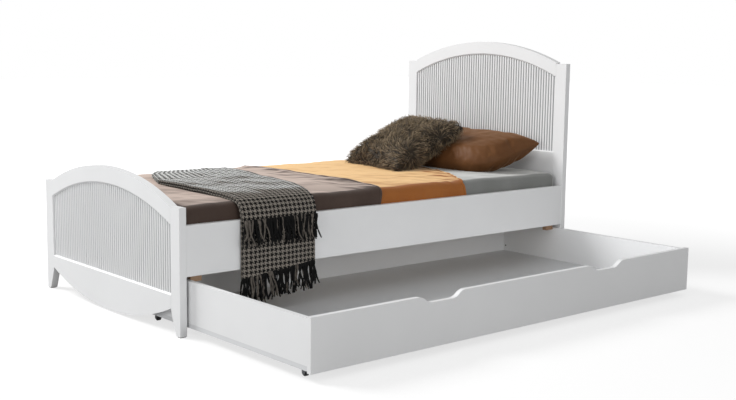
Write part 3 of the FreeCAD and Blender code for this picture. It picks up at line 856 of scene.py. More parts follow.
@dataclass(frozen=True)
class Satin:
    """Smooth satin with a directional lustre and faint draws."""

    name: str = "brown_satin"
    colour: Colour = (0.135, 0.054, 0.016)
    shade: Colour = (0.115, 0.044, 0.012)

    def build(self, effects: Effects) -> bpy.types.Material:
        """Builds the material.

        Args:
            effects: The shared node groups.

        Returns:
            The material.
        """
        surface = Surface(self.name, Coordinates.OBJECT)
        mottle = surface.effect(
            effects.mottle, Color=rgba(self.colour), Shade=rgba(self.shade),
            Patch_Scale=16.0, Fine_Scale=1400.0,
        )
        surface.colour(mottle.outputs["Color"])
        surface.roughness(mottle.outputs["Patches"], 0.58, 0.68)
        surface.bump(mottle.outputs["Height"], 0.0003, 0.15)
        surface.fixed(
            Sheen_Weight=0.3, Sheen_Roughness=0.35, Sheen_Tint=(0.9, 0.55, 0.3, 1.0), Specular_IOR_Level=0.25
        )
        return surface.material


@dataclass(frozen=True)
class Pile:
    """Long shaggy pile; each lock's own map holds its tone across and its length along."""

    name: str = "long_fur"
    # Near-black root colour, painting the shade low in the pile.
    root: Colour = (0.030, 0.022, 0.013)
    tip: Colour = (0.62, 0.47, 0.29)
    dark_tip: Colour = (0.14, 0.10, 0.058)

    def build(self, effects: Effects) -> bpy.types.Material:
        """Builds the material.

        Args:
            effects: The shared node groups.

        Returns:
            The material.
        """
        surface = Surface(self.name, Coordinates.CLOTH)
        axes = surface.kit.add("ShaderNodeSeparateXYZ", {0: surface.place})
        ends = surface.kit.mix(axes.outputs[0], rgba(self.dark_tip), rgba(self.tip))
        # Each lock darkens toward a near-black root, painting the shade low in the pile; toward its tip it
        # keeps the fur's own lighter colour.
        along = surface.kit.ramp(axes.outputs[1], [(0.15, 0.0), (0.85, 1.0)])
        surface.colour(surface.kit.mix(along, rgba(self.root), ends))
        mottle = surface.effect(
            effects.mottle, Color=rgba(self.tip), Shade=rgba(self.root), Patch_Scale=9.0, Fine_Scale=60.0
        )
        surface.roughness(mottle.outputs["Patches"], 0.5, 0.7)
        surface.fixed(Sheen_Weight=0.1, Sheen_Roughness=0.4, Specular_IOR_Level=0.25)
        return surface.material


# Bedding ------------------------------------------------------------------------------------------

def lay_map(item: bpy.types.Object, places: np.ndarray) -> None:
    """Gives each corner of each face the map place of its vertex.

    Args:
        item: A mesh object.
        places: One row of u, v for each vertex.
    """
    mesh = item.data
    layer = mesh.uv_layers[0] if mesh.uv_layers else mesh.uv_layers.new(name="cloth")
    corners = np.empty(len(mesh.loops), dtype=np.int64)
    mesh.loops.foreach_get("vertex_index", corners)
    layer.data.foreach_set("uv", places[corners].astype(np.float32).ravel())


def add_grid(name: str, across: int, along: int) -> tuple[bpy.types.Object, np.ndarray]:
    """Adds a flat grid to be shaped.

    Args:
        name: Its name.
        across: Number of faces in its first direction.
        along: Number of faces in its second direction.

    Returns:
        The object and, for each vertex, its two shares from 0 to 1.
    """
    deselect_all()
    bpy.ops.mesh.primitive_grid_add(x_subdivisions=across, y_subdivisions=along, size=1.0)
    item = settle(bpy.context.object, name)
    return item, points_of(item)[:, :2] + 0.5


def thicken(item: bpy.types.Object, thickness: float, offset: float = 0.0) -> None:
    """Gives a sheet its thickness.

    Args:
        item: The sheet.
        thickness: Its thickness in metres.
        offset: Side that the thickness goes to, -1 to 1.
    """
    modifier = item.modifiers.new("thickness", "SOLIDIFY")
    modifier.thickness = thickness
    modifier.offset = offset
    apply_modifiers(item)


@dataclass(frozen=True)
class SoftBlock:
    """A block with rounded upright corners, rounded edges and a crowned top."""

    half_x: float
    half_y: float
    middle_y: float
    bottom: float
    top: float
    corner: float = 0.045
    edge: float = 0.026
    crown: float = 0.009

    def wrap(self, raw: np.ndarray, clearance: float | np.ndarray = 0.0) -> np.ndarray:
        """Moves points from the sharp block's surface to the rounded one's.

        Args:
            raw: Rows of x, y, z on the sharp block, with y from its middle.
            clearance: How far outside the block each point ends up.

        Returns:
            Rows of x, y, z in the model's frame.
        """
        plan = raw[:, :2].copy()
        side = np.sign(plan)
        half = np.array([self.half_x, self.half_y])
        inner = half - self.corner
        beyond = np.maximum(np.abs(plan) - inner, 0.0)
        reach = np.linalg.norm(beyond, axis=1)
        longest = beyond.max(axis=1)
        outward = np.where(reach[:, None] > TINY, beyond / np.maximum(reach, TINY)[:, None], 0.0) * side
        core = np.clip(plan, -inner, inner)
        inset = self.corner - longest
        below = self.top - raw[:, 2]
        q_side = np.maximum(self.edge - np.maximum(inset, 0.0), 0.0)
        q_top = np.maximum(self.edge - below, 0.0)
        length = np.maximum(np.hypot(q_side, q_top), TINY)
        shrink = np.maximum(q_side, q_top) / length
        side_out, top_out = q_side * shrink, q_top * shrink
        rounded = (q_side > 0) & (q_top > 0)
        distance = np.where(rounded, self.corner - self.edge + side_out, longest)
        height = np.where(rounded, self.top - self.edge + top_out, raw[:, 2])
        slant = np.maximum(np.hypot(side_out, top_out), TINY)
        lean = np.where(rounded, side_out / slant, np.where(below > 0, 1.0, 0.0))
        rise = np.where(rounded, top_out / slant, np.where(below > 0, 0.0, 1.0))
        place = core + outward * (distance + clearance * lean)[:, None]
        spread = np.clip(1.0 - (np.abs(plan) / half) ** 4, 0.0, 1.0)
        height = height + clearance * rise + self.crown * spread[:, 0] * spread[:, 1] * (rise > 0)
        return np.column_stack([place[:, 0], place[:, 1] + self.middle_y, height])


@dataclass
class Mattress:
    """The foam mattress in its ticking and the stretch sheet fitted over it."""

    effects: Effects
    body: str = "mattress_set"
    cuts: int = 70
    sheet_thickness: float = 0.0015
    sheet_clearance: float = 0.0018
    hem_width: float = 0.06
    block: SoftBlock = field(init=False)

    def __post_init__(self) -> None:
        """Takes the block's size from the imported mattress."""
        low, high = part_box("mattress")
        self.block = SoftBlock(
            half_x=(high.x - low.x) / 2, half_y=(high.y - low.y) / 2, middle_y=(high.y + low.y) / 2,
            bottom=low.z, top=high.z
        )

    def _sharp_block(self, name: str) -> tuple[bpy.types.Object, np.ndarray]:
        """Adds a finely divided box.

        Args:
            name: Its name.

        Returns:
            The object and its points with y from the block's middle.
        """
        deselect_all()
        block = self.block
        bpy.ops.mesh.primitive_cube_add(size=1.0)
        item = bpy.context.object
        bpy.ops.object.mode_set(mode="EDIT")
        bpy.ops.mesh.select_all(action="SELECT")
        bpy.ops.mesh.subdivide(number_cuts=self.cuts)
        bpy.ops.object.mode_set(mode="OBJECT")
        settle(item, name)
        size = np.array([2 * block.half_x, 2 * block.half_y, block.top - block.bottom])
        raw = points_of(item) * size
        raw[:, 2] += (block.top + block.bottom) / 2
        return item, raw

    def build_pad(self) -> bpy.types.Object:
        """Builds the mattress itself.

        Returns:
            The pad.
        """
        item, raw = self._sharp_block("mattress_pad")
        shaped = self.block.wrap(raw, -0.0005)
        move_points(item, shaped)
        face_outward(item)
        smooth(item)
        return item

    def build_sheet(self) -> bpy.types.Object:
        """Builds the fitted sheet, open underneath inside its elastic hem.

        Returns:
            The sheet.
        """
        item, raw = self._sharp_block("fitted_sheet_cloth")
        block = self.block
        shaped = block.wrap(raw, self.sheet_clearance)
        ripple = turbulence(shaped * np.array([1.0, 1.0, 0.35]), 0.11, 3.0)
        side_share = ease(block.top - shaped[:, 2], 0.01, 0.06)
        uncovered = ease(shaped[:, 0], 0.36, 0.50)
        shaped[:, 2] += 0.0022 * ripple * uncovered * (1.0 - side_share)
        away = np.sign(raw[:, 1]) * (np.abs(raw[:, 1]) > block.half_y - 0.001)
        shaped[:, 1] += 0.0012 * np.abs(ripple) * side_share * away
        move_points(item, shaped)
        drop = block.top - raw[:, 2]
        ends = np.sign(raw[:, 0]) * (np.abs(raw[:, 0]) > block.half_x - 0.001) * drop
        lay_map(item, np.column_stack([raw[:, 0] + ends, raw[:, 1] + away * drop]))
        self._open_underside(item, raw)
        face_outward(item)
        thicken(item, self.sheet_thickness)
        smooth(item)
        return item

    def _open_underside(self, item: bpy.types.Object, raw: np.ndarray) -> None:
        """Removes the bottom faces inside the hem.

        Args:
            item: The sheet.
            raw: Its points on the sharp block.
        """
        block = self.block
        inside_x = np.abs(raw[:, 0]) < block.half_x - self.hem_width
        inside_y = np.abs(raw[:, 1]) < block.half_y - self.hem_width
        gone = set(np.nonzero(inside_x & inside_y & (raw[:, 2] < block.bottom + 1e-4))[0])
        mesh = bmesh.new()
        mesh.from_mesh(item.data)
        mesh.verts.ensure_lookup_table()
        bmesh.ops.delete(mesh, geom=[mesh.verts[index] for index in gone], context="VERTS")
        mesh.to_mesh(item.data)
        mesh.free()

    def dress(self) -> None:
        pad = self.build_pad()
        ticking = Cotton(
            "ticking", (0.72, 0.70, 0.66), (0.66, 0.64, 0.60),
            painted_sheen=(0.78, 0.76, 0.72), laid_on=Coordinates.OBJECT,
        )
        finish(pad, ticking.build(self.effects))
        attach(pad, self.body)
        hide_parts("mattress")
        sheet = self.build_sheet()
        jersey = Cotton(
            "grey_jersey", (0.235, 0.24, 0.23), (0.205, 0.21, 0.20), painted_sheen=(0.64, 0.65, 0.63), pitch=0.0014
        )
        finish(sheet, jersey.build(self.effects))
        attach(sheet, self.body)
        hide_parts("fitted_sheet")


def finish(item: bpy.types.Object, material: bpy.types.Material) -> None:
    """Gives a new piece its only material, and logs it.

    Args:
        item: The piece.
        material: Its material.
    """
    item.data.materials.clear()
    item.data.materials.append(material)
    LOG.info("%s: %d faces", item.name, len(item.data.polygons))


@dataclass(frozen=True)
class CoverPlan:
    """How one cover lies: its two edges as lines across the bed, and how crumpled it is."""

    name: str
    node: str
    slot: str
    colour: Colour
    shade: Colour
    # Pale colour painted on as sheen where the cover is seen at a glancing angle.
    painted_sheen: Colour
    foot_edge: Sequence[tuple[float, float]]
    head_edge: Sequence[tuple[float, float]]
    clearance: float
    hem_lift: float
    crumple: float
    flat: tuple[float, float]
    seed: float
    drapes_foot: bool = False


@dataclass
class Covers:
    """The brown and the orange cover that lie across the mattress and hang down its long sides."""

    effects: Effects
    block: SoftBlock
    body: str = "mattress_set"
    hang: float = 0.151
    thickness: float = 0.0022
    along: int = 150
    across: int = 170

    def plans(self) -> list[CoverPlan]:
        """Returns both covers.

        Returns:
            The plans, the lower cover first.
        """
        near, far = -self.block.half_y, self.block.half_y
        orange = CoverPlan(
            "orange_cover_cloth", "orange_cover", "orange_cotton",
            (0.37, 0.125, 0.022), (0.33, 0.105, 0.017), (0.90, 0.57, 0.245),
            foot_edge=[(near - 0.15, -0.094), (far + 0.15, -0.094)],
            head_edge=[
                (near - 0.10, 0.408), (near, 0.386), (-0.227, 0.528), (0.0, 0.590), (far + 0.1, 0.590),
            ],
            clearance=0.0042, hem_lift=0.0, crumple=0.38, flat=(0.68, 1.30), seed=4.0,
        )
        brown = CoverPlan(
            "brown_cover_cloth", "brown_cover", "brown_cotton",
            (0.072, 0.046, 0.035), (0.058, 0.036, 0.027), (0.56, 0.44, 0.375),
            foot_edge=[(near - 0.15, -1.02), (far + 0.15, -1.02)],
            head_edge=[
                (near - 0.10, -0.104), (near, -0.080), (-0.3, -0.070), (far, -0.072), (far + 0.1, -0.09),
            ],
            clearance=0.0050, hem_lift=0.0045, crumple=0.22, flat=(0.95, 1.30), seed=9.0, drapes_foot=True,
        )
        return [orange, brown]

    def build(self, plan: CoverPlan) -> bpy.types.Object:
        """Shapes one cover.

        Args:
            plan: How it lies.

        Returns:
            The cover.
        """
        item, shares = add_grid(plan.name, self.along, self.across)
        block = self.block
        full = 2 * (block.half_y + self.hang)
        flat_y = (shares[:, 1] - 0.5) * full
        foot = np.interp(flat_y, *zip(*plan.foot_edge))
        head = np.interp(flat_y, *zip(*plan.head_edge))
        along = foot + (head - foot) * (1.0 - (1.0 - shares[:, 0]) ** 1.7)
        drop = np.maximum(np.abs(flat_y) - block.half_y, 0.0)
        over_foot = np.maximum(-along - (block.half_x - 0.001), 0.0)
        raw = np.column_stack([
            np.maximum(along, -block.half_x + 0.001),
            np.clip(flat_y, -block.half_y, block.half_y),
            block.top - np.maximum(drop, over_foot),
        ])
        to_hem = head - along
        lift = plan.hem_lift * (1.0 - ease(to_hem, 0.0, 0.08))
        seam = 0.0018 * (1.0 - ease(np.abs(to_hem - 0.007), 0.002, 0.008))
        tucked = 0.003 * (1.0 - ease(to_hem, 0.0, 0.004))
        lift += seam - tucked
        shaped = block.wrap(raw, plan.clearance + lift)
        self._wrinkle(plan, shaped, drop, to_hem, np.sign(flat_y))
        move_points(item, shaped)
        lay_map(item, np.column_stack([to_hem, flat_y]))
        thicken(item, self.thickness)
        smooth(item)
        return item

    def _wrinkle(
        self, plan: CoverPlan, shaped: np.ndarray, drop: np.ndarray, to_hem: np.ndarray, side: np.ndarray
    ) -> None:
        """Adds soft lumps on top, slanting creases toward the head edge and upright folds on the sides.

        Args:
            plan: How the cover lies.
            shaped: The cover's points, changed in place.
            drop: How far down the side each point hangs.
            to_hem: Distance from the cover's head edge.
            side: -1 on the near half, 1 on the far half.
        """
        hanging = ease(drop, 0.012, 0.07)
        lumps = turbulence(shaped, 0.20, plan.seed, 3)
        slanted = shaped @ np.array([[1.0, -0.5, 0.0], [0.5, 0.35, 0.0], [0.0, 0.0, 0.3]])
        creases = 1.0 - np.abs(turbulence(slanted, 0.10, plan.seed + 2.0, 2)) * 2.4
        near_edge = 1.0 - ease(to_hem, 0.02, 0.22)
        rise = 0.0035 * lumps + 0.0085 * plan.crumple * np.maximum(creases, 0.0) * (0.25 + near_edge)
        shaped[:, 2] += np.maximum(rise, -0.0016) * (1.0 - hanging)
        upright = shaped * np.array([1.0, 0.0, 0.16])
        folds = turbulence(upright, 0.085, plan.seed + 5.0, 3)
        shaped[:, 1] += side * hanging * (0.0012 + 0.0105 * np.maximum(folds + 0.05, 0.0))

    def dress(self) -> None:
        for plan in self.plans():
            cloth = self.build(plan)
            cotton = Cotton(plan.slot, plan.colour, plan.shade, plan.painted_sheen, hemmed=True)
            finish(cloth, cotton.build(self.effects))
            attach(cloth, self.body)
            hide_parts(plan.node)


@dataclass
class Throw:
    """A checked scarf-like throw, folded along and across, with a knotted fringe at both ends."""

    effects: Effects
    block: SoftBlock
    body: str = "mattress_set"
    ply_width: float = 0.345
    ply_gap: float = 0.0044
    turn: float = 0.0070
    thickness: float = 0.0022
    over: float = 0.0085
    lower_hem: float = 0.176
    upper_hem: float = 0.387
    hem_slant: float = 0.034
    fold_y: float = 0.352
    plies: int = 2
    ply_step: float = 0.0045
    strands_per_ply: int = 42
    strand_rings: int = 9
    strand_sides: int = 6
    strand_radius: tuple[float, float] = (0.0030, 0.0050)
    strand_length_shares: tuple[float, float] = (0.72, 1.1)
    knot_lift: float = 0.004
    left_edge: Sequence[tuple[float, float]] = (
        (-0.504, -0.778), (-0.16, -0.770), (0.07, -0.763), (0.268, -0.679), (0.355, -0.605)
    )
    right_edge: Sequence[tuple[float, float]] = (
        (-0.504, -0.450), (-0.283, -0.368), (0.05, -0.318), (0.35, -0.266)
    )

    def _spine(self, shares: np.ndarray, across: np.ndarray) -> tuple[np.ndarray, np.ndarray, np.ndarray]:
        """Follows the throw from its lower hem over the bed, round the far fold and back to its upper hem.

        Args:
            shares: Share of the way along, 0 to 1.
            across: Share of the way from the folded edge to the open one.

        Returns:
            Points as y and z, their normals, and the distance along.
        """
        top = self.block.top + self.over
        lower = [(-0.531, self.lower_hem), (-0.530, 0.30), (-0.529, 0.375), (-0.527, 0.41), (-0.517, 0.436),
                 (-0.500, 0.450), (-0.472, top), (-0.40, top + 0.004), (-0.2, top + 0.007),
                 (0.0, top + 0.008), (0.2, top + 0.007), (self.fold_y, top + 0.006)]
        bend = [(self.fold_y + self.turn * math.sin(step), top + 0.006 + self.turn * (1 - math.cos(step)))
                for step in np.linspace(0.3, math.pi - 0.3, 7)]
        rise = 2 * self.turn
        upper = [(0.33, top + 0.006 + rise), (0.2, top + 0.007 + rise), (0.0, top + 0.008 + rise),
                 (-0.2, top + 0.007 + rise), (-0.40, top + 0.004 + rise), (-0.476, top + rise),
                 (-0.508, 0.462), (-0.529, 0.444), (-0.540, 0.414), (-0.5425, self.upper_hem)]
        line = np.array(lower + bend + upper)
        steps = np.concatenate([[0.0], np.cumsum(np.linalg.norm(np.diff(line, axis=0), axis=1))])
        start = self.hem_slant * across
        distance = start + (steps[-1] - start) * shares
        fine = np.linspace(0.0, steps[-1], 1500)
        window = np.ones(9) / 9
        smooth_line = np.column_stack([np.interp(fine, steps, line[:, axis]) for axis in (0, 1)])
        padded = np.pad(smooth_line, ((4, 4), (0, 0)), mode="reflect", reflect_type="odd")
        smooth_line = np.column_stack([np.convolve(padded[:, axis], window, mode="valid") for axis in (0, 1)])
        slope = np.gradient(smooth_line, axis=0)
        slope /= np.linalg.norm(slope, axis=1)[:, None]
        place = np.column_stack([np.interp(distance, fine, smooth_line[:, axis]) for axis in (0, 1)])
        heading = np.column_stack([np.interp(distance, fine, slope[:, axis]) for axis in (0, 1)])
        heading /= np.linalg.norm(heading, axis=1)[:, None]
        return place, np.column_stack([-heading[:, 1], heading[:, 0]]), distance

    def _section(self, share: np.ndarray) -> tuple[np.ndarray, np.ndarray]:
        """Follows one hairpin section: the under ply, the rounded fold and the upper ply.

        Args:
            share: Share of the way round the hairpin.

        Returns:
            The share of the width from the folded edge, and the height above the under ply.
        """
        half_turn = 0.035
        swing = np.clip((share - 0.5) / half_turn, -1.0, 1.0)
        width = np.where(
            np.abs(share - 0.5) < half_turn,
            -0.004 * np.cos(swing * math.pi / 2),
            (np.abs(share - 0.5) - half_turn) / (0.5 - half_turn),
        )
        return width, self.ply_gap * (0.5 + 0.5 * np.sin(swing * math.pi / 2))

    def build(self) -> bpy.types.Object:
        """Shapes the folded cloth.

        Returns:
            The cloth.
        """
        item, shares = add_grid("houndstooth_throw", 96, 330)
        width, height = self._section(shares[:, 0])
        place, normal, distance = self._spine(shares[:, 1], np.clip(width, 0.0, 1.0))
        left = np.interp(place[:, 0], *zip(*self.left_edge))
        right = np.interp(place[:, 0], *zip(*self.right_edge))
        along_x = left + (right - left) * width
        end_flare = 1.0 + 0.5 * (1.0 - ease(distance, 0.0, 0.3))
        rest = np.column_stack([along_x, place + normal * (height * end_flare)[:, None]])
        level = np.ones_like(distance)
        lumps = turbulence(np.column_stack([rest[:, 0] * 1.5, rest[:, 1], level]), 0.13, 5.0, 2)
        on_top = ease(rest[:, 1], -0.50, -0.42)
        rest[:, 2] += on_top * 0.0035 * (lumps + 0.35)
        gathers = turbulence(np.column_stack([rest[:, 0], distance * 0.10, 2.0 * level]), 0.075, 8.0, 2)
        rest[:, 1] -= (1.0 - on_top) * 0.0060 * np.maximum(gathers + 0.1, 0.0)
        rest[:, 1] += self.block.middle_y
        move_points(item, rest)
        lay_map(item, np.column_stack([(shares[:, 0] - 0.5) * 2 * self.ply_width, distance]))
        thicken(item, self.thickness)
        smooth(item)
        return item

    def strand(
        self, rng: random.Random, root: Vector, length: float, radius: float
    ) -> tuple[np.ndarray, np.ndarray]:
        """Shapes one twisted strand hanging from its root.

        Args:
            rng: Source of chance.
            root: Where it leaves the hem.
            length: Its length.
            radius: Its radius.

        Returns:
            Its points, ring by ring with a closing point at the tip, and their map places.
        """
        rings, sides = self.strand_rings, self.strand_sides
        sway_x, sway_y = rng.gauss(0.03, 0.17), rng.uniform(-0.02, 0.09)
        curl, phase = rng.uniform(0.003, 0.009), rng.uniform(0, 2 * math.pi)
        tone = rng.random()
        points, maps = [], []
        for ring in range(rings):
            share = ring / (rings - 1)
            centre_x = root.x + sway_x * length * share + curl * math.sin(phase + share * 5.0) * share
            centre_y = root.y - sway_y * length * share * share - abs(curl) * share * 0.4
            knot = 1.45 if ring == 1 else 1.0
            girth = radius * knot * (1.0 - 0.15 * share)
            for side in range(sides):
                angle = 2 * math.pi * side / sides + share * 4.0
                lobe = girth * (1.0 + 0.22 * math.cos(2 * angle - share * 22.0))
                out_x, out_y = lobe * math.cos(angle), lobe * math.sin(angle)
                points.append((centre_x + out_x, centre_y + out_y, root.z - length * share))
                maps.append((tone, length * share))
        last = np.array(points[-sides:]).mean(axis=0)
        points.append((last[0], last[1], last[2] - radius * 0.8))
        maps.append((tone, length))
        first = np.array(points[:sides]).mean(axis=0)
        points.append((first[0], first[1], first[2] + radius * 0.3))
        maps.append((tone, 0.0))
        return np.array(points), np.array(maps)

    def build_fringe(
        self, name: str, hem: Callable[[float], float], depth: float, seed: int, length: float
    ) -> bpy.types.Object:
        """Builds all strands of one end.

        Args:
            name: The piece's name.
            hem: Height of the hem at each share of the width.
            depth: Where the hem lies, as y from the bed's middle.
            seed: Seed of the strands' chance.
            length: Mean length of a strand.

        Returns:
            The fringe.
        """
        rng = random.Random(seed)
        rings, sides = self.strand_rings, self.strand_sides
        points, maps, faces = [], [], []
        for ply in range(self.plies):
            for number in range(self.strands_per_ply):
                share = (number + 0.5 + rng.uniform(-0.3, 0.3)) / self.strands_per_ply
                x = self.left_edge[0][1] + (self.right_edge[0][1] - self.left_edge[0][1]) * share
                y = depth - ply * self.ply_step + self.block.middle_y - rng.uniform(0.0, 0.002)
                root = Vector((x, y, hem(share) + self.knot_lift))
                base = sum(len(part) for part in points)
                strand_length = length * rng.uniform(*self.strand_length_shares)
                part, part_map = self.strand(rng, root, strand_length, rng.uniform(*self.strand_radius))
                points.append(part)
                maps.append(part_map)
                for ring in range(rings - 1):
                    for side in range(sides):
                        a, b = base + ring * sides + side, base + ring * sides + (side + 1) % sides
                        faces.append((a, a + sides, b + sides, b))
                tip, cap = base + rings * sides, base + rings * sides + 1
                for side in range(sides):
                    a, b = base + (rings - 1) * sides + side, base + (rings - 1) * sides + (side + 1) % sides
                    faces.append((a, tip, b))
                    faces.append((base + side, base + (side + 1) % sides, cap))
        mesh = bpy.data.meshes.new(name)
        mesh.from_pydata(np.concatenate(points).tolist(), [], faces)
        item = bpy.data.objects.new(name, mesh)
        bpy.context.scene.collection.objects.link(item)
        lay_map(item, np.concatenate(maps))
        face_outward(item)
        smooth(item)
        return item

    def dress(self) -> None:
        cloth = self.build()
        finish(cloth, CheckWool().build(self.effects))
        yarn = Yarn().build(self.effects)
        lower = self.build_fringe(
            "lower_fringe_strands", lambda share: self.lower_hem + self.hem_slant * share, -0.5325, 11, 0.097
        )
        upper = self.build_fringe("upper_fringe_strands", lambda share: self.upper_hem, -0.5445, 23, 0.090)
        for strands in (lower, upper):
            finish(strands, yarn)
            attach(strands, self.body)
        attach(cloth, self.body)
        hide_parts("throw_lower_layer", "throw_upper_layer")
        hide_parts("throw_lower_fringe")
        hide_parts("throw_upper_fringe")


# Cushions -----------------------------------------------------------------------------------------

@dataclass(frozen=True)
class Leaning:
    """Where a cushion leans: its middle, its tilt toward the headboard and its turn."""

    middle: Vector
    tilt: float
    turn: float

    def matrix(self) -> Matrix:
        """Works out the cushion's place.

        Returns:
            The matrix that takes a flat cushion at the origin to its leaning place.
        """
        turned = Euler((0.0, 0.0, math.radians(self.turn))).to_matrix()
        tilted = Euler((0.0, -math.radians(self.tilt), 0.0)).to_matrix()
        return Matrix.Translation(self.middle) @ (turned @ tilted).to_4x4()


@dataclass(frozen=True)
class Stuffing:
    """How a sewn case fills out."""

    length: float
    width: float
    depth: float
    pull_in: float
    low_corners: float = 0.0
    pressure: float = 4.0
    cap: float = 0.012
    voxel: float = 0.006


def place_of(node: str) -> Vector:
    """Returns the middle of a node's box."""
    low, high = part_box(node)
    return (low + high) / 2


def stuffed_case(name: str, stuffing: Stuffing, rough: float, seed: float) -> bpy.types.Object:
    """Models a filled square case lying flat at the origin.

    Args:
        name: Its name.
        stuffing: Its size and filling.
        rough: Depth of its puckers, in metres.
        seed: Picks their pattern.

    Returns:
        The case.
    """
    deselect_all()
    bpy.ops.mesh.primitive_cube_add(size=2.0)
    item = bpy.context.object
    bpy.ops.object.mode_set(mode="EDIT")
    bpy.ops.mesh.select_all(action="SELECT")
    bpy.ops.mesh.subdivide(number_cuts=47)
    bpy.ops.object.mode_set(mode="OBJECT")
    settle(item, name)
    raw = points_of(item)
    u, v, w = raw.T
    fade = np.clip((1 - np.abs(u) ** 2.4) * (1 - np.abs(v) ** 2.4), 0.0, 1.0)
    fullness = fade ** 0.5
    tucked = 1 - stuffing.low_corners * np.abs(u * v) ** 1.6 * (u < 0)
    x = u * tucked * stuffing.length / 2 * (1 - stuffing.pull_in * (1 - v * v) * np.abs(u) ** 3)
    y = v * tucked * stuffing.width / 2 * (1 - stuffing.pull_in * (1 - u * u) * np.abs(v) ** 3)
    z = w * (0.004 + stuffing.depth / 2 * fullness)
    flat = np.column_stack([x, y, z])
    pucker = turbulence(flat * np.array([1.0, 1.0, 0.4]), 0.09, seed, 3)
    spokes = np.column_stack([np.arctan2(v, u) * 0.35, fade * 0.05, w])
    ray = 1.0 - np.abs(turbulence(spokes, 0.06, seed + 3, 2)) * 2
    flat[:, 2] += np.sign(w) * rough * (pucker * fullness + 0.8 * np.maximum(ray, 0) * (1 - fade) * fade * 4)
    move_points(item, flat)
    return item


def inflate(item: bpy.types.Object, stuffing: Stuffing) -> None:
    """Blows the case up a little with the cloth solver, and keeps the result.

    Args:
        item: The case.
        stuffing: Its pressure, cap and voxel size.
    """
    remesh = item.modifiers.new("remesh", "REMESH")
    remesh.mode = "VOXEL"
    remesh.voxel_size = stuffing.voxel
    apply_modifiers(item)
    before = points_of(item)
    cloth = item.modifiers.new("stuffing", "CLOTH")
    cloth.settings.use_pressure = True
    cloth.settings.uniform_pressure_force = stuffing.pressure
    cloth.settings.effector_weights.gravity = 0.0
    cloth.settings.quality = 5
    cloth.settings.tension_stiffness = 20.0
    cloth.settings.compression_stiffness = 20.0
    cloth.settings.bending_stiffness = 0.6
    cloth.point_cache.frame_start = 1
    cloth.point_cache.frame_end = 20
    scene = bpy.context.scene
    for frame_number in range(1, 21):
        scene.frame_set(frame_number)
    moved = item.evaluated_get(bpy.context.evaluated_depsgraph_get())
    flat = np.empty(len(moved.data.vertices) * 3)
    moved.data.vertices.foreach_get("co", flat)
    step = flat.reshape(-1, 3) - before
    reach = np.linalg.norm(step, axis=1)
    share = np.minimum(1.0, stuffing.cap / np.maximum(reach, TINY))
    item.modifiers.remove(cloth)
    scene.frame_set(1)
    move_points(item, before + step * share[:, None])


def settle_cushion(item: bpy.types.Object, leaning: Leaning) -> None:
    """Finishes a case and puts it in its leaning place.

    Args:
        item: The case.
        leaning: Its place.
    """
    blend = item.modifiers.new("soften", "SMOOTH")
    blend.iterations = 4
    blend.factor = 0.5
    finer = item.modifiers.new("finer", "SUBSURF")
    finer.levels = 1
    finer.render_levels = 1
    apply_modifiers(item)
    places = points_of(item)
    matrix = np.array(leaning.matrix())
    move_points(item, places @ matrix[:3, :3].T + matrix[:3, 3])
    face_outward(item)
    smooth(item)


@dataclass
class SatinPillow:
    """The long brown satin pillow that leans on the headboard."""

    effects: Effects
    body: str = "satin_pillow"
    stuffing: Stuffing = Stuffing(0.40, 0.70, 0.128, 0.06, low_corners=0.26, cap=0.014)
    tilt: float = 16.0
    turn: float = -2.0

    def build(self) -> bpy.types.Object:
        """Models the pillow.

        Returns:
            The pillow.
        """
        item = stuffed_case("brown_satin_pillow", self.stuffing, 0.0060, 6.0)
        inflate(item, self.stuffing)
        settle_cushion(item, Leaning(place_of("satin_pillow"), self.tilt, self.turn))
        return item

    def dress(self) -> None:
        pillow = self.build()
        finish(pillow, Satin().build(self.effects))
        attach(pillow, self.body)
        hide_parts("satin_pillow")


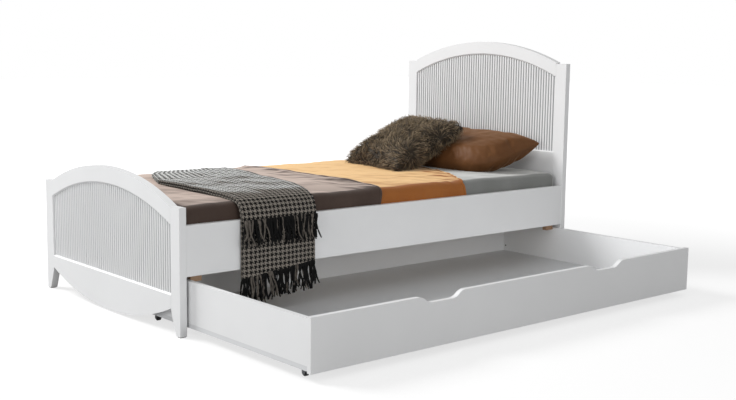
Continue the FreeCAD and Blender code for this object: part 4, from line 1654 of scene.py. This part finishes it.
@dataclass
class FurCushion:
    """The square cushion in long fur that leans on the pillow."""

    effects: Effects
    body: str = "fur_cushion"
    stuffing: Stuffing = Stuffing(0.425, 0.45, 0.105, 0.05, cap=0.010)
    tilt: float = 26.0
    turn: float = -8.0
    locks: int = 9000
    rings: int = 4
    corners: int = 3
    lock_length: tuple[float, float] = (0.022, 0.040)
    lock_girth: tuple[float, float] = (0.0007, 0.0016)
    root_depth: float = 0.003
    seed: int = 31

    def build_case(self) -> bpy.types.Object:
        """Models the stuffed case under the fur.

        Returns:
            The case.
        """
        item = stuffed_case("fur_cushion_case", self.stuffing, 0.003, 12.0)
        inflate(item, self.stuffing)
        settle_cushion(item, Leaning(place_of("fur_cushion"), self.tilt, self.turn))
        return item

    def _lock(self, rng: random.Random, root: Vector, normal: Vector, lie: Vector) -> tuple[list, list]:
        """Shapes one curved, pointed lock.

        Args:
            rng: Source of chance.
            root: Where it grows.
            normal: Which way is out.
            lie: Which way the pile lies there.

        Returns:
            Its points in rings of three with one at the tip, and their map places.
        """
        chance = Vector((rng.uniform(-1, 1), rng.uniform(-1, 1), rng.uniform(-1, 1)))
        start = (normal * 0.9 + lie * 0.5 + chance * 0.35).normalized()
        end = (normal * 0.12 + lie * 0.9 + chance * 0.55 + Vector((0, 0, -0.25))).normalized()
        length = rng.uniform(*self.lock_length)
        girth = rng.uniform(*self.lock_girth)
        tone = min(1.0, max(0.0, rng.gauss(0.42, 0.28)))
        side = start.cross(chance).normalized()
        points, maps = [], []
        place = root - normal * self.root_depth
        for ring in range(self.rings):
            share = ring / self.rings
            heading = start.lerp(end, share).normalized()
            up = heading.cross(side).normalized()
            width = girth * (1.0 - share) ** 0.6
            for corner in range(self.corners):
                angle = 2 * math.pi * corner / self.corners
                wide, high = math.cos(angle) * width * 1.5, math.sin(angle) * width * 0.7
                points.append(place + side * wide + up * high)
                maps.append((tone, share))
            place = place + heading * (length / self.rings)
        points.append(place)
        maps.append((tone, 1.0))
        return points, maps

    def build_fur(self, case: bpy.types.Object) -> bpy.types.Object:
        """Grows the locks over the case.

        Args:
            case: The stuffed case.

        Returns:
            All locks as one piece.
        """
        rng = random.Random(self.seed)
        noise.seed_set(self.seed)  # until it is seeded, noise_vector follows the clock
        mesh = case.data
        areas = np.array([face.area for face in mesh.polygons])
        chosen = rng.choices(range(len(areas)), weights=areas.tolist(), k=self.locks)
        flow_shift = Vector((3.0, 8.0, 1.0))
        points, maps, faces = [], [], []
        for index in chosen:
            face = mesh.polygons[index]
            normal = face.normal.copy()
            flow = noise.noise_vector(face.center * 9.0 + flow_shift)
            lie = flow - normal * flow.dot(normal)
            base = len(points)
            part, part_map = self._lock(rng, face.center, normal, lie.normalized())
            points.extend(part)
            maps.extend(part_map)
            sides = self.corners
            for ring in range(self.rings - 1):
                for corner in range(sides):
                    a, b = base + ring * sides + corner, base + ring * sides + (corner + 1) % sides
                    faces.append((a, b, b + sides, a + sides))
            last = base + sides * (self.rings - 1)
            for corner in range(sides):
                faces.append((last + corner, last + (corner + 1) % sides, last + sides))
            faces.append((base + 2, base + 1, base))
        fur_mesh = bpy.data.meshes.new("long_fur_pile")
        fur_mesh.from_pydata([tuple(point) for point in points], [], faces)
        item = bpy.data.objects.new("long_fur_pile", fur_mesh)
        bpy.context.scene.collection.objects.link(item)
        lay_map(item, np.array(maps))
        face_outward(item)
        smooth(item)
        return item

    def dress(self) -> None:
        case = self.build_case()
        # The case under the locks is near-black, painting the shade low in the pile between them.
        pelt = Pile("fur_backing", tip=(0.035, 0.022, 0.014), dark_tip=(0.02, 0.012, 0.008))
        finish(case, pelt.build(self.effects))
        fur = self.build_fur(case)
        finish(fur, Pile().build(self.effects))
        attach(case, self.body)
        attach(fur, self.body)
        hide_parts("fur_cushion")


# Hard parts ---------------------------------------------------------------------------------------

@dataclass
class HardParts:
    """Finishes for the parts that keep their own shapes."""

    effects: Effects
    reeds_per_panel: int = 60
    reed_depth: float = 0.008

    def reeded(self, node: str) -> bpy.types.Material:
        """Makes the reeded paint, set out on one panel.

        Args:
            node: The panel's name.

        Returns:
            The material.
        """
        low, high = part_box(node)
        pitch = (high.y - low.y) / self.reeds_per_panel
        return ReededLacquer(node + "_lacquer", low.y, pitch, low.x + self.reed_depth).build(self.effects)

    def finishes(self) -> dict[str, bpy.types.Material]:
        """Returns a material for each slot of the record that a hard part uses."""
        makers = [
            Lacquer(),
            # drawer_board is a darker copy of the white lacquer, painting the shade on the drawer's boards.
            Lacquer("drawer_board", (0.70, 0.71, 0.72), (0.67, 0.68, 0.69), (0.38, 0.5)),
            Timber("beech_dowel", (0.62, 0.42, 0.25), (0.50, 0.32, 0.18), along="X", rings=160.0),
            Timber("pine", (0.72, 0.53, 0.33), (0.56, 0.36, 0.19)),
            Timber("stained_pine", (0.40, 0.25, 0.15), (0.28, 0.16, 0.09), along="X"),
            Moulding("glide_plastic", (0.035, 0.033, 0.032)),
            Moulding("black_plastic", (0.015, 0.015, 0.016)),
            Moulding("wheel_nylon", (0.05, 0.05, 0.052), (0.3, 0.45)),
            Plating("zinc_screw", (0.62, 0.62, 0.63)),
            Plating("bracket_steel", (0.50, 0.51, 0.53), (0.34, 0.5)),
            Plating("castor_steel", (0.42, 0.43, 0.45), (0.3, 0.5)),
        ]
        return {maker.name: maker.build(self.effects) for maker in makers}

    def dress(self, nodes: dict[str, bpy.types.Object]) -> None:
        """Swaps each hard part's plain materials for the finished ones.

        Args:
            nodes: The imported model's parts by name.
        """
        finishes = self.finishes()
        for name, node in nodes.items():
            panel = self.reeded(name) if name.endswith("_reeded_panel") else None
            for place in node.material_slots:
                slot = place.material.name.split(".")[0] if place.material else ""
                if slot in finishes:
                    place.material = panel or finishes[slot]
            LOG.info("%s: %s", name, [place.material.name for place in node.material_slots if place.material])


# Stage --------------------------------------------------------------------------------------------

@dataclass(frozen=True)
class Lamp:
    """One soft rectangular lamp."""

    name: str
    place: tuple[float, float, float]
    target: tuple[float, float, float]
    size: float
    power: float
    colour: Colour = (1.0, 1.0, 1.0)

    def build(self) -> None:
        """Adds the lamp, turned to its target."""
        light = bpy.data.lights.new(self.name, "AREA")
        light.shape = "SQUARE"
        light.size = self.size
        light.energy = self.power
        light.color = self.colour
        lamp = bpy.data.objects.new(self.name, light)
        lamp.location = self.place
        aim = Vector(self.target) - Vector(self.place)
        lamp.rotation_euler = aim.to_track_quat("-Z", "Y").to_euler()
        bpy.context.scene.collection.objects.link(lamp)


@dataclass
class Studio:
    """The pale floor, the soft light and the camera."""

    floor_size: float = 60.0
    floor_tone: float = 0.30
    floor_glow: tuple[float, float] = (0.70, 1.0)
    glow_reach: tuple[float, float] = (1.9, 4.6)
    ambient: float = 0.42
    camera_place: tuple[float, float, float] = (-2.9504, -3.3876, 0.987)
    yaw: float = 0.71275
    pitch: float = 0.1337
    roll: float = 0.01329
    lens: float = 53.56
    lamps: Sequence[Lamp] = (
        Lamp("key_lamp", (-3.5, 4.5, 5.2), (0.0, 0.2, 0.3), 3.0, 500.0),
        Lamp("left_lamp", (-6.5, -1.7, 1.5), (0.0, -0.3, 0.3), 2.6, 90.0),
        Lamp("front_lamp", (-1.5, -7.0, 1.6), (0.0, -0.4, 0.3), 3.5, 115.0),
    )

    def build_floor(self) -> None:
        """Adds a wide pale floor under the bed."""
        deselect_all()
        bpy.ops.mesh.primitive_plane_add(size=self.floor_size)
        floor = settle(bpy.context.object, "studio_floor")
        surface = Surface("studio_floor")
        surface.fixed(
            Base_Color=(self.floor_tone,) * 3 + (1.0,), Roughness=0.9, Specular_IOR_Level=0.1,
            Emission_Color=(1.0, 1.0, 1.0, 1.0)
        )
        kit = surface.kit
        away = kit.add("ShaderNodeVectorMath", {0: surface.place}, operation="LENGTH").outputs["Value"]
        glow = kit.add(
            "ShaderNodeMapRange",
            {"Value": away, "From Min": self.glow_reach[0], "From Max": self.glow_reach[1],
             "To Min": self.floor_glow[0], "To Max": self.floor_glow[1]},
            interpolation_type="SMOOTHSTEP",
        )
        seen = kit.add("ShaderNodeLightPath").outputs["Is Camera Ray"]
        shown = kit.math("MULTIPLY", glow.outputs["Result"], seen)
        kit.tree.links.new(shown, surface.shader.inputs["Emission Strength"])
        floor.data.materials.append(surface.material)

    def build_world(self) -> None:
        """Sets a white backdrop for the camera and a softer even light for everything else."""
        world = bpy.data.worlds.new("studio_light")
        world.use_nodes = True
        world.node_tree.nodes.clear()
        kit = NodeKit(world.node_tree)
        path = kit.add("ShaderNodeLightPath")
        white = kit.add("ShaderNodeBackground", {"Color": (1.0, 1.0, 1.0, 1.0), "Strength": 1.0})
        soft = kit.add("ShaderNodeBackground", {"Color": (1.0, 1.0, 1.0, 1.0), "Strength": self.ambient})
        to_camera = path.outputs["Is Camera Ray"]
        mixed = kit.add("ShaderNodeMixShader", {0: to_camera, 1: soft.outputs[0], 2: white.outputs[0]})
        kit.add("ShaderNodeOutputWorld", {0: mixed.outputs[0]})
        bpy.context.scene.world = world

    def build_camera(self) -> None:
        """Adds the camera at its place and turn."""
        camera = bpy.data.cameras.new("studio_camera")
        camera.sensor_width = 36.0
        camera.lens = self.lens
        camera.clip_end = 200.0
        level = math.cos(self.pitch)
        ahead = Vector((math.sin(self.yaw) * level, math.cos(self.yaw) * level, -math.sin(self.pitch)))
        right = Vector((math.cos(self.yaw), -math.sin(self.yaw), 0.0))
        above = right.cross(ahead)
        side = right * math.cos(self.roll) + above * math.sin(self.roll)
        top = above * math.cos(self.roll) - right * math.sin(self.roll)
        stand = bpy.data.objects.new("studio_camera", camera)
        stand.matrix_world = Matrix((
            (side.x, top.x, -ahead.x, self.camera_place[0]),
            (side.y, top.y, -ahead.y, self.camera_place[1]),
            (side.z, top.z, -ahead.z, self.camera_place[2]),
            (0.0, 0.0, 0.0, 1.0),
        ))
        bpy.context.scene.collection.objects.link(stand)
        bpy.context.scene.camera = stand

    def build(self) -> None:
        """Builds the whole studio."""
        self.build_floor()
        self.build_world()
        for lamp in self.lamps:
            lamp.build()
        self.build_camera()
        bpy.context.scene.view_settings.view_transform = "Standard"


# Everything ---------------------------------------------------------------------------------------


def main() -> None:
    """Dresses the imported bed, models its bedding and sets up the studio."""
    logging.basicConfig(level=logging.INFO, format="%(name)s %(message)s")
    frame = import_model()
    deselect_all()
    effects = Effects()
    HardParts(effects).dress(frame["nodes"])
    mattress = Mattress(effects)
    mattress.dress()
    Covers(effects, mattress.block).dress()
    Throw(effects, mattress.block).dress()
    SatinPillow(effects).dress()
    FurCushion(effects).dress()
    Studio().build()


if __name__ == "__main__":
    main()
